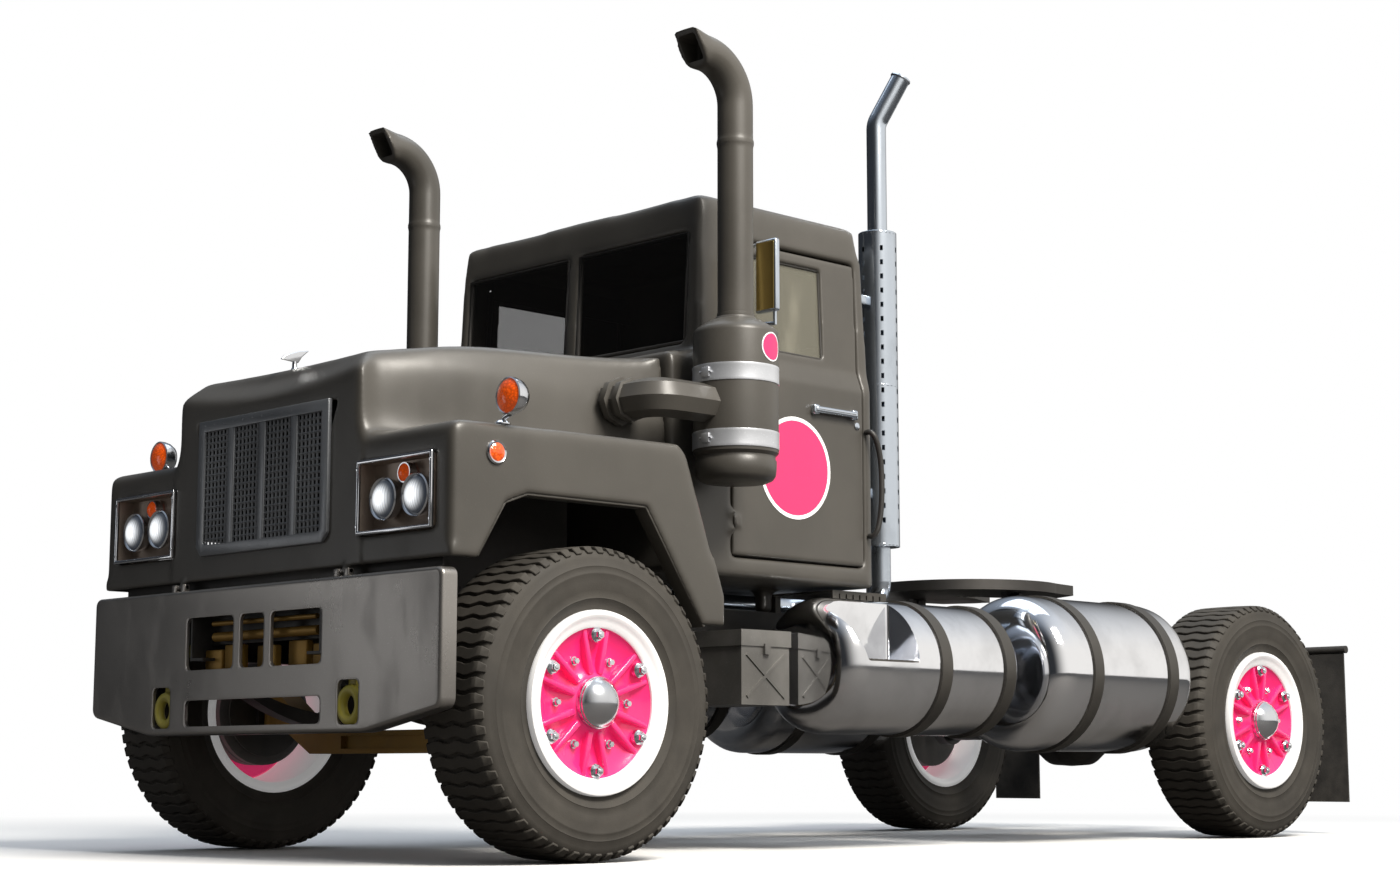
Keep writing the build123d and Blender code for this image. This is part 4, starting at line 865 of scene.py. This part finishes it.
finished(paired(joined("fender_lamp_shells", [stalk_shell, stalk_arm, stalk_foot, marker_ring])), "hood",
         "lamp_chrome", replaces=("fender_lamps",))
stalk_lens = turned("stalk_lens", STALK, (0, -1, 0),
                    [(0.0555, 0.026)] + dome_profile(0.0550, 0.019, 0.031), 36)
marker_lens = turned("marker_lens", MARKER, (1, 0, 0), dome_profile(0.033, 0.009, 0.0085), 32)
finished(paired(joined("fender_lenses", [stalk_lens, marker_lens])), "hood", "amber_lens")

# ---------------------------------------------------------------- air cleaners, ducts and stacks

STACK = (0.940, 0.795)
CANISTER_RADIUS = 0.1588
BAND_FEET = (1.460, 1.702)

band_parts = []
for z in BAND_FEET:
    band_parts.append(turned("canister_band", at(*STACK, z), (0, 0, 1), [
        (0.1575, 0.0), (0.1600, 0.0), (0.1608, 0.004), (0.1600, 0.010), (0.1600, 0.054), (0.1608, 0.060),
        (0.1600, 0.064), (0.1575, 0.064), (0.1575, 0.0)], 56))
    band_parts.append(block("band_clasp", at(0.925, 0.628, z + 0.014), at(0.965, 0.640, z + 0.050), 0.003))
    bolt_run = [at(x, 0.6335, z + 0.032) for x in (0.915, 0.975)]
    band_parts.append(tube("band_bolt", bolt_run, 0.005, False))
finished(paired(joined("canister_bands", band_parts)), "chassis", "polished_metal", band_metal)
canister = turned("canister_shell", at(*STACK, 0), (0, 0, 1), [
    (0.0, 1.342), (0.118, 1.342), (0.136, 1.350), (0.147, 1.366), (0.150, 1.390), (0.150, 1.420),
    (0.146, 1.426), (0.146, 1.436), (0.157, 1.448), (0.1578, 1.460), (0.1578, 1.890), (0.155, 1.902),
    (0.140, 1.916), (0.100, 1.940), (0.078, 1.948), (0.074, 1.956), (0.0, 1.956)], 64)
saddles = [block("canister_saddle", at(0.764, 0.765, z + 0.012), at(0.800, 0.825, z + 0.052), 0.004)
           for z in BAND_FEET]
finished(paired(joined("canister_skin", [canister] + saddles)), "chassis", "body_paint",
         replaces=("air_cleaners",))

DUCT_RUN = ((0.600, 0.405), (0.800, 0.405), (0.925, 0.410), (0.935, 0.520), (0.935, 0.650))
DUCT_HEIGHT = 1.622
duct = tube("duct", [at(x, y, DUCT_HEIGHT) for x, y in DUCT_RUN], 0.072, True, 2)
collars = [turned("duct_collar", at(x, 0.405, DUCT_HEIGHT), (1, 0, 0), [
    (0.070, -0.016), (reach, -0.013), (reach, 0.013), (0.070, 0.016), (0.060, 0.0), (0.070, -0.016)], 8, 50)
    for x, reach in ((0.735, 0.090), (0.790, 0.082))]
finished(paired(joined("duct_skin", [duct] + collars)), "hood", "body_paint", replaces=("intake_ducts",))

# The stacks' mouths are open towards the front
stack_skin = softened("stack_skin", ["intake_stacks"], 0.0075, 3, 0.6)
MOUTH_HALF = 0.044
cutter = paired(block("mouth_cutter", at(STACK[0] - MOUTH_HALF, 0.30, 2.892),
                      at(STACK[0] + MOUTH_HALF, 0.645, 2.982), 0.012, 3))
modify(stack_skin, "BOOLEAN", object=cutter, operation="DIFFERENCE", solver="EXACT")
bpy.data.objects.remove(cutter)
finished(smooth(stack_skin, 50), "chassis", "body_paint", replaces=("intake_stacks",))
stack_seams = [turned("stack_seam", at(*STACK, z), (0, 0, 1), [
    (0.066, 0.0), (0.0695, 0.001), (0.0700, 0.008), (0.0695, 0.015), (0.066, 0.016), (0.066, 0.0)], 40)
    for z in (2.610, 1.955)]
finished(paired(joined("stack_seams", stack_seams)), "chassis", "body_paint")

# Thin round pink discs on the doors, each with a raised white rim that glows faintly as painted light
MARK_RADIUS = 0.200
for side, sign in (("left", 1), ("right", -1)):
    centre, facing, name = at(sign * 0.7655, 1.300, 1.460), (sign, 0, 0), side + "_door_mark"
    disc_edge, rim_edge = MARK_RADIUS * 0.93, MARK_RADIUS * 0.925
    disc = turned(name + "_disc", centre, facing, [(0.0, 0.0), (disc_edge, 0.0), (disc_edge, 0.0012),
                                                   (0.0, 0.0012)], 56)
    rim = turned(name + "_rim", centre, facing, [(rim_edge, 0.0), (MARK_RADIUS, 0.0), (MARK_RADIUS, 0.0014),
                                                 (rim_edge, 0.0014), (rim_edge, 0.0)], 56)
    finished(disc, side + "_door", "wheel_pink", sticker_pink)
    finished(rim, side + "_door", "wheel_pink", wheel_white_painted_glow)

# The small disc on the canister, bent round it, with a white rim that glows faintly as painted light
MARK = at(STACK[0] + CANISTER_RADIUS, STACK[1] + 0.030, 1.832)
small_mark = turned("canister_mark", MARK, (1, 0, 0),
                    [(0.0, 0.001)] + [(0.010 * ring, 0.001) for ring in range(1, 6)] + [(0.050, -0.0008)], 40)
small_rim = turned("canister_mark_rim", MARK, (1, 0, 0),
                   [(0.0495, -0.0008), (0.0495, 0.0012), (0.0540, 0.0012), (0.0540, -0.0008)], 40)
for mark in (small_mark, small_rim):
    for corner in mark.data.vertices:
        across = corner.co.y - AXLE_Y - STACK[1]
        corner.co.x -= CANISTER_RADIUS - (CANISTER_RADIUS ** 2 - across ** 2) ** 0.5
finished(paired(small_mark), "chassis", "body_paint", sticker_pink)
finished(paired(small_rim), "chassis", "body_paint", wheel_white_painted_glow)

# ---------------------------------------------------------------- exhaust guard

# A rolled sheet of rows and columns of faces, some of which become its holes
GUARD, GUARD_RADIUS, GUARD_LOW, GUARD_HIGH = (0.620, 1.965), 0.0798, 1.206, 2.518
ROWS, COLUMNS = 44, 24
guard = turned("guard_shell", at(*GUARD, 0), (0, 0, 1),
               [(GUARD_RADIUS, GUARD_LOW + row * (GUARD_HIGH - GUARD_LOW) / ROWS) for row in range(ROWS + 1)],
               COLUMNS, 50)
pick(guard)
bpy.ops.object.mode_set(mode="EDIT")
bpy.ops.mesh.select_mode(type="FACE")
bpy.ops.mesh.select_all(action="DESELECT")
bpy.ops.object.mode_set(mode="OBJECT")
for face in guard.data.polygons:
    offset = face.center - at(*GUARD, 0)
    column = round((atan2(offset.y, offset.x) % tau) / tau * COLUMNS - 0.5)
    row = round((offset.z - GUARD_LOW) / (GUARD_HIGH - GUARD_LOW) * ROWS - 0.5)
    face.select = column % 4 == 1 and row % 2 == 1 and 1 < row < ROWS - 2
bpy.ops.object.mode_set(mode="EDIT")
bpy.ops.mesh.inset(thickness=0.0042, use_individual=True)
bpy.ops.mesh.delete(type="FACE")
clear_bench()
modify(guard, "SOLIDIFY", thickness=0.002, offset=-1.0)
guard_rings = [turned("guard_ring", at(*GUARD, z), (0, 0, 1), [
    (0.0445, 0.0), (0.0775, 0.0), (0.0795, 0.003), (0.0795, 0.011), (0.0775, 0.014), (0.0445, 0.014),
    (0.0445, 0.0)], 36)
    for z in (1.205, 1.8625, 2.506)]
guard_arms = [block("guard_arm", at(0.595, 1.800, z), at(0.645, 1.893, z + 0.040), 0.004)
              for z in (1.400, 2.200)]
finished(smooth(joined("guard_skin", [guard] + guard_rings + guard_arms), 50), "chassis", "chrome_pipe",
         replaces=("exhaust_guard",))

# ---------------------------------------------------------------- cab trim

# Seal runs on the left: round a door's window, which leans in to the top, and round its doorway
WINDOW_BEAD = [(0.720, 1.010, 1.915), (0.720, 1.500, 1.915), (0.704, 1.500, 2.275), (0.704, 1.010, 2.275),
               (0.720, 1.010, 1.915)]
DOORWAY = [(0.721, 0.958, 1.100), (0.721, 0.958, 1.800), (0.690, 0.958, 1.890), (0.669, 0.958, 2.327),
           (0.669, 1.702, 2.327), (0.690, 1.702, 1.890), (0.721, 1.702, 1.800), (0.721, 1.702, 1.100),
           (0.721, 0.958, 1.100)]
SCREEN_LOW, SCREEN_HIGH = 1.909, 2.331

for side, sign in (("left", 1), ("right", -1)):
    grip = block("grip", at(sign * 0.772, 1.395, 1.687), at(sign * 0.795, 1.640, 1.713), 0.009, 4)
    ends = [block("grip_end", at(sign * 0.764, y, 1.680), at(sign * 0.790, y + 0.034, 1.720), 0.008, 3)
            for y in (1.388, 1.612)]
    lock = turned("door_lock", at(sign * 0.765, 1.660, 1.660), (sign, 0, 0),
                  [(0.014, 0.0), (0.014, 0.004), (0.010, 0.006), (0.0, 0.006)], 20)
    finished(joined("door_grip_" + side, [grip, lock] + ends), side + "_door", "chrome_pipe")
    shell = block("mirror_shell", at(sign * 0.790, 1.052, 2.028), at(sign * 0.900, 1.080, 2.311), 0.009, 4)
    arms = [tube("mirror_arm", [at(sign * 0.706, y, z), at(sign * 0.882, 1.067, z)], 0.0078, False)
            for y, z in ((0.985, 1.982), (1.067, 2.300))]
    post = tube("mirror_post", [at(sign * 0.882, 1.067, z) for z in (1.976, 2.307)], 0.0078, False)
    finished(joined("mirror_frame_" + side, [shell, post] + arms), side + "_door", "chrome_pipe",
             replaces=("mirror_" + side,))
    panes = [block("mirror_pane", at(sign * 0.799, y, 2.038), at(sign * 0.891, y + 0.002, 2.301), 0.0008, 1)
             for y in (1.0505, 1.0815)]
    finished(joined("mirror_pane_" + side, panes), side + "_door", "mirror_metal", mirror_silver)
    finished(tube("window_seal_" + side, [at(sign * x, y, z) for x, y, z in WINDOW_BEAD], 0.008, False),
             side + "_door", "black_rubber")

seal_runs = []
for side in (-1, 1):
    seal_runs.append(tube("door_seal", [at(side * x, y, z) for x, y, z in DOORWAY], 0.0085, False))
    corners = [(side * x, z) for x, z in ((0.036, SCREEN_LOW), (0.651, SCREEN_LOW), (0.651, SCREEN_HIGH),
                                          (0.036, SCREEN_HIGH))]
    screen_run = [at(x, 0.818 + (z - 1.9) * 0.05, z) for x, z in corners + corners[:1]]
    seal_runs.append(tube("screen_seal", screen_run, 0.011, False))
rear_run = [at(x, 1.762, z) for x, z in ((-0.42, 1.93), (0.42, 1.93), (0.42, 2.26), (-0.42, 2.26),
                                         (-0.42, 1.93))]
seal_runs.append(tube("rear_seal", rear_run, 0.011, False))
finished(joined("glass_seals", seal_runs), "chassis", "black_rubber")
screens = [block("screen", at(side * 0.033, 0.822, 1.906), at(side * 0.654, 0.828, 2.334), 0.001, 1)
           for side in (-1, 1)]
finished(joined("screen_panes", screens), "chassis", "tinted_glass", screen_glass, ("cab_glass",))
rear_pane = block("rear_pane", at(-0.419, 1.756, 1.931), at(0.419, 1.762, 2.259), 0.001, 1)
finished(rear_pane, "chassis", "tinted_glass", rear_glass)

# Dark liners inside the cab over the doors
liner = block("head_liner", at(0.628, 0.930, 2.270), at(0.640, 1.730, 2.375), 0.002)
finished(paired(liner), "chassis", "frame_paint")

# Bowed grab bars behind the doors
GRAB_RUN = ((0.766, 1.716, 1.640), (0.800, 1.716, 1.650), (0.808, 1.752, 1.560), (0.808, 1.762, 1.430),
            (0.808, 1.752, 1.300), (0.800, 1.728, 1.215), (0.766, 1.728, 1.225))
grab = tube("grab_bar", [at(x, y, z) for x, y, z in GRAB_RUN], 0.0115)
finished(paired(grab), "chassis", "chrome_pipe", FINISHES["frame_paint"], ("grab_handles",))

# The exhaust's open tip, with a rolled rim, and a near-black disc across its mouth as painted shade for the
# bore
TIP, TIP_LEAN = at(0.694, 2.039, 3.188), Vector((0.33, 0.33, 0.88)).normalized()
tip_rim = turned("tip_rim", TIP - TIP_LEAN * 0.006, TIP_LEAN, [
    (0.036, 0.0), (0.0425, 0.0), (0.0455, 0.006), (0.0425, 0.013), (0.036, 0.010), (0.036, 0.0)], 36)
tip_painted_shade_disc = turned("tip_painted_shade_disc", TIP, TIP_LEAN, [(0.0, 0.0045), (0.037, 0.0045), (0.037, 0.0), (0.0, 0.0)], 36)
finished(tip_rim, "chassis", "chrome_pipe")
finished(tip_painted_shade_disc, "chassis", "chrome_pipe", bore_painted_shade)

# A plain fin on a foot, at the front of the hood
ornament = turned("ornament_foot", at(0, -0.500, 1.706), (0, 0, 1), [
    (0.0, 0.0), (0.030, 0.0), (0.030, 0.004), (0.016, 0.010), (0.009, 0.022), (0.008, 0.045),
    (0.0, 0.046)], 28)
ornament_fin = plate("ornament_fin", [at(0.004, y, z) for y, z in
                                      ((-0.560, 1.752), (-0.545, 1.768), (-0.480, 1.792), (-0.440, 1.796),
                                       (-0.470, 1.770), (-0.485, 1.746))], (-0.008, 0, 0), 0.0035, 3)
finished(joined("hood_ornament", [ornament, ornament_fin]), "hood", "lamp_chrome")

# ---------------------------------------------------------------- cooler behind the bumper

cooler_tubes = [tube("cooler_tube", [at(-0.318, y, z), at(0.318, y, z)], radius, False, 6)
                for y, z, radius in ((-0.600, 0.822, 0.009), (-0.590, 0.775, 0.017))]
cooler_blocks = [block("cooler_block", at(x - 0.055, -0.590, 0.640), at(x + 0.055, -0.560, z), 0.006)
                 for x, z in ((-0.330, 0.730), (-0.205, 0.745), (0.0, 0.735), (0.190, 0.745), (0.335, 0.730))]
finished(joined("cooler_parts", cooler_tubes + cooler_blocks), "chassis", "axle_gold")

# ---------------------------------------------------------------- tanks and steps

def tank(x, z, radius, front, length):
    """A polished tank along the vehicle, with widely rolled ends."""
    roll = 0.11
    arc = [radians(15 * index) for index in range(7)]
    head = [(radius - roll + roll * sin(turn), roll - roll * cos(turn)) for turn in arc]
    tail = [(reach, length - rise) for reach, rise in reversed(head)]
    return turned("tank", at(x, front, z), (0, 1, 0), [(0.0, 0.0)] + head + tail + [(0.0, length)], 96)


# The front tank has a notch that a step lies in
step_tank = tank(0.800, 0.700, 0.262, 1.290, 1.070)
notch = plate("notch", [at(0.895, y, z) for y, z in ((1.385, 0.710), (1.680, 0.710), (1.680, 1.000),
                                                     (1.290, 1.000))],
              (0.2, 0, 0), 0.012, 4)
modify(step_tank, "BOOLEAN", object=notch, operation="DIFFERENCE", solver="EXACT")
bpy.data.objects.remove(notch)
tanks = joined("tank_skins", [rounded(step_tank, 0.006, 3, 40), tank(0.805, 0.705, 0.325, 2.500, 1.000)])
finished(paired(tanks), "chassis", "polished_metal", replaces=("fuel_tanks",))

step_pad = block("step_pad", at(0.900, 1.400, 0.7105), at(1.050, 1.665, 0.716), 0.002)
cleats = [block("step_cleat", at(0.905, 1.415 + index * 0.030, 0.716),
                at(1.046, 1.423 + index * 0.030, 0.720), 0.001)
          for index in range(9)]
finished(paired(joined("step_pads", [step_pad] + cleats)), "chassis", "strap_metal")

# ---------------------------------------------------------------- rear lamps

TAIL_FACE = 4.9255
tail_outline = face_outline([(0.188, 0.758), (0.332, 0.758), (0.332, 0.862), (0.188, 0.862)], TAIL_FACE)
finished(paired(framed("tail_frames", tail_outline, 0.010, -0.024, 0.003)), "chassis", "strap_metal")

# ---------------------------------------------------------------- stage, light and camera

# Seen by the camera the floor is white, and far from the object it fades into the white background
stage = Finish("pale_stage", Roughness=0.9)
seen = stage.node("ShaderNodeLightPath", {}, {}, "Is Camera Ray")
stage.feed("Base Color", stage.tint(seen, (0.09, 0.085, 0.08), (0.95, 0.95, 0.95)))
reach = stage.node("ShaderNodeVectorMath", {"operation": "LENGTH"}, {0: stage.place()}, "Value")
backdrop = stage.node("ShaderNodeEmission", {}, {})
body = Reading(stage, stage.shader.outputs["BSDF"])
stage.join(stage.tree.nodes["Material Output"].inputs["Surface"],
           stage.node("ShaderNodeMixShader", {}, {0: reach.between(3.6, 7.5) * seen, 1: body, 2: backdrop}))
clear_bench()
bpy.ops.mesh.primitive_plane_add(size=240, location=(0, 0, -0.002))
floor = bpy.context.object
floor.name = "stage_floor"
floor.data.materials.append(stage.material)

# The studio is bright on the vehicle's left and above it, and dim in front of it
world = bpy.data.worlds.new("studio")
bpy.context.scene.world = world
world.use_nodes = True
sky = Graph(world.node_tree)
facing = sky.node("ShaderNodeTexCoord", {}, {}, "Generated")


def towards(direction, low, high):
    """How far a ray goes towards a direction, from 0 to 1."""
    share = sky.node("ShaderNodeVectorMath", {"operation": "DOT_PRODUCT"},
                     {0: facing, 1: Vector(direction).normalized()}, "Value")
    return share.between(low, high)


studio = sky.tint(towards((0.85, 0.50, 0.25), -0.1, 0.9), (0.030, 0.032, 0.036), (1.0, 0.97, 0.92))
studio = sky.tint(towards((-0.1, 0.1, 1.0), 0.35, 1.0) * 0.5, studio, (0.62, 0.72, 0.86))
unseen = 1.0
for ray in ("Is Camera Ray", "Is Transmission Ray"):
    unseen = unseen - sky.node("ShaderNodeLightPath", {}, {}, ray)
sky.join(world.node_tree.nodes["Background"].inputs["Color"], sky.tint(unseen, (1.0, 1.0, 1.0), studio))


def soft_lamp(name, place, aim, size, power, colour=(1, 1, 1)):
    """A large flat lamp aimed at a point."""
    data = bpy.data.lights.new(name, "AREA")
    data.shape = "RECTANGLE"
    data.size, data.size_y = size
    data.energy = power
    data.color = colour
    lamp = bpy.data.objects.new(name, data)
    bpy.context.scene.collection.objects.link(lamp)
    lamp.location = place
    lamp.rotation_euler = (Vector(aim) - Vector(place)).to_track_quat("-Z", "Y").to_euler()


soft_lamp("side_light", (7.4, -1.9, 8.2), (0, -0.4, 1.2), (3.6, 3.6), 1550, (1.0, 0.95, 0.87))
soft_lamp("top_light", (-1.0, 0.5, 8.0), (0, 0.2, 1.2), (6.0, 6.0), 170, (0.86, 0.93, 1.0))
soft_lamp("bumper_light", (-2.9, -5.9, 1.1), (0.7, -2.8, 0.9), (1.3, 2.2), 9)

# The camera stands low, ahead of the left front wheel, and looks back and a little up
EYE, YAW, PITCH, LENS = at(6.816, -5.178, 0.308), radians(45.43), radians(7.98), 59.35
camera_data = bpy.data.cameras.new("camera")
camera = bpy.data.objects.new("camera", camera_data)
bpy.context.scene.collection.objects.link(camera)
bpy.context.scene.camera = camera
camera_data.sensor_width = 36
camera_data.lens = LENS
camera.location = EYE
forward = Vector((-sin(YAW) * cos(PITCH), cos(YAW) * cos(PITCH), sin(PITCH)))
camera.rotation_euler = forward.to_track_quat("-Z", "Y").to_euler()
bpy.context.scene.view_settings.view_transform = "Standard"
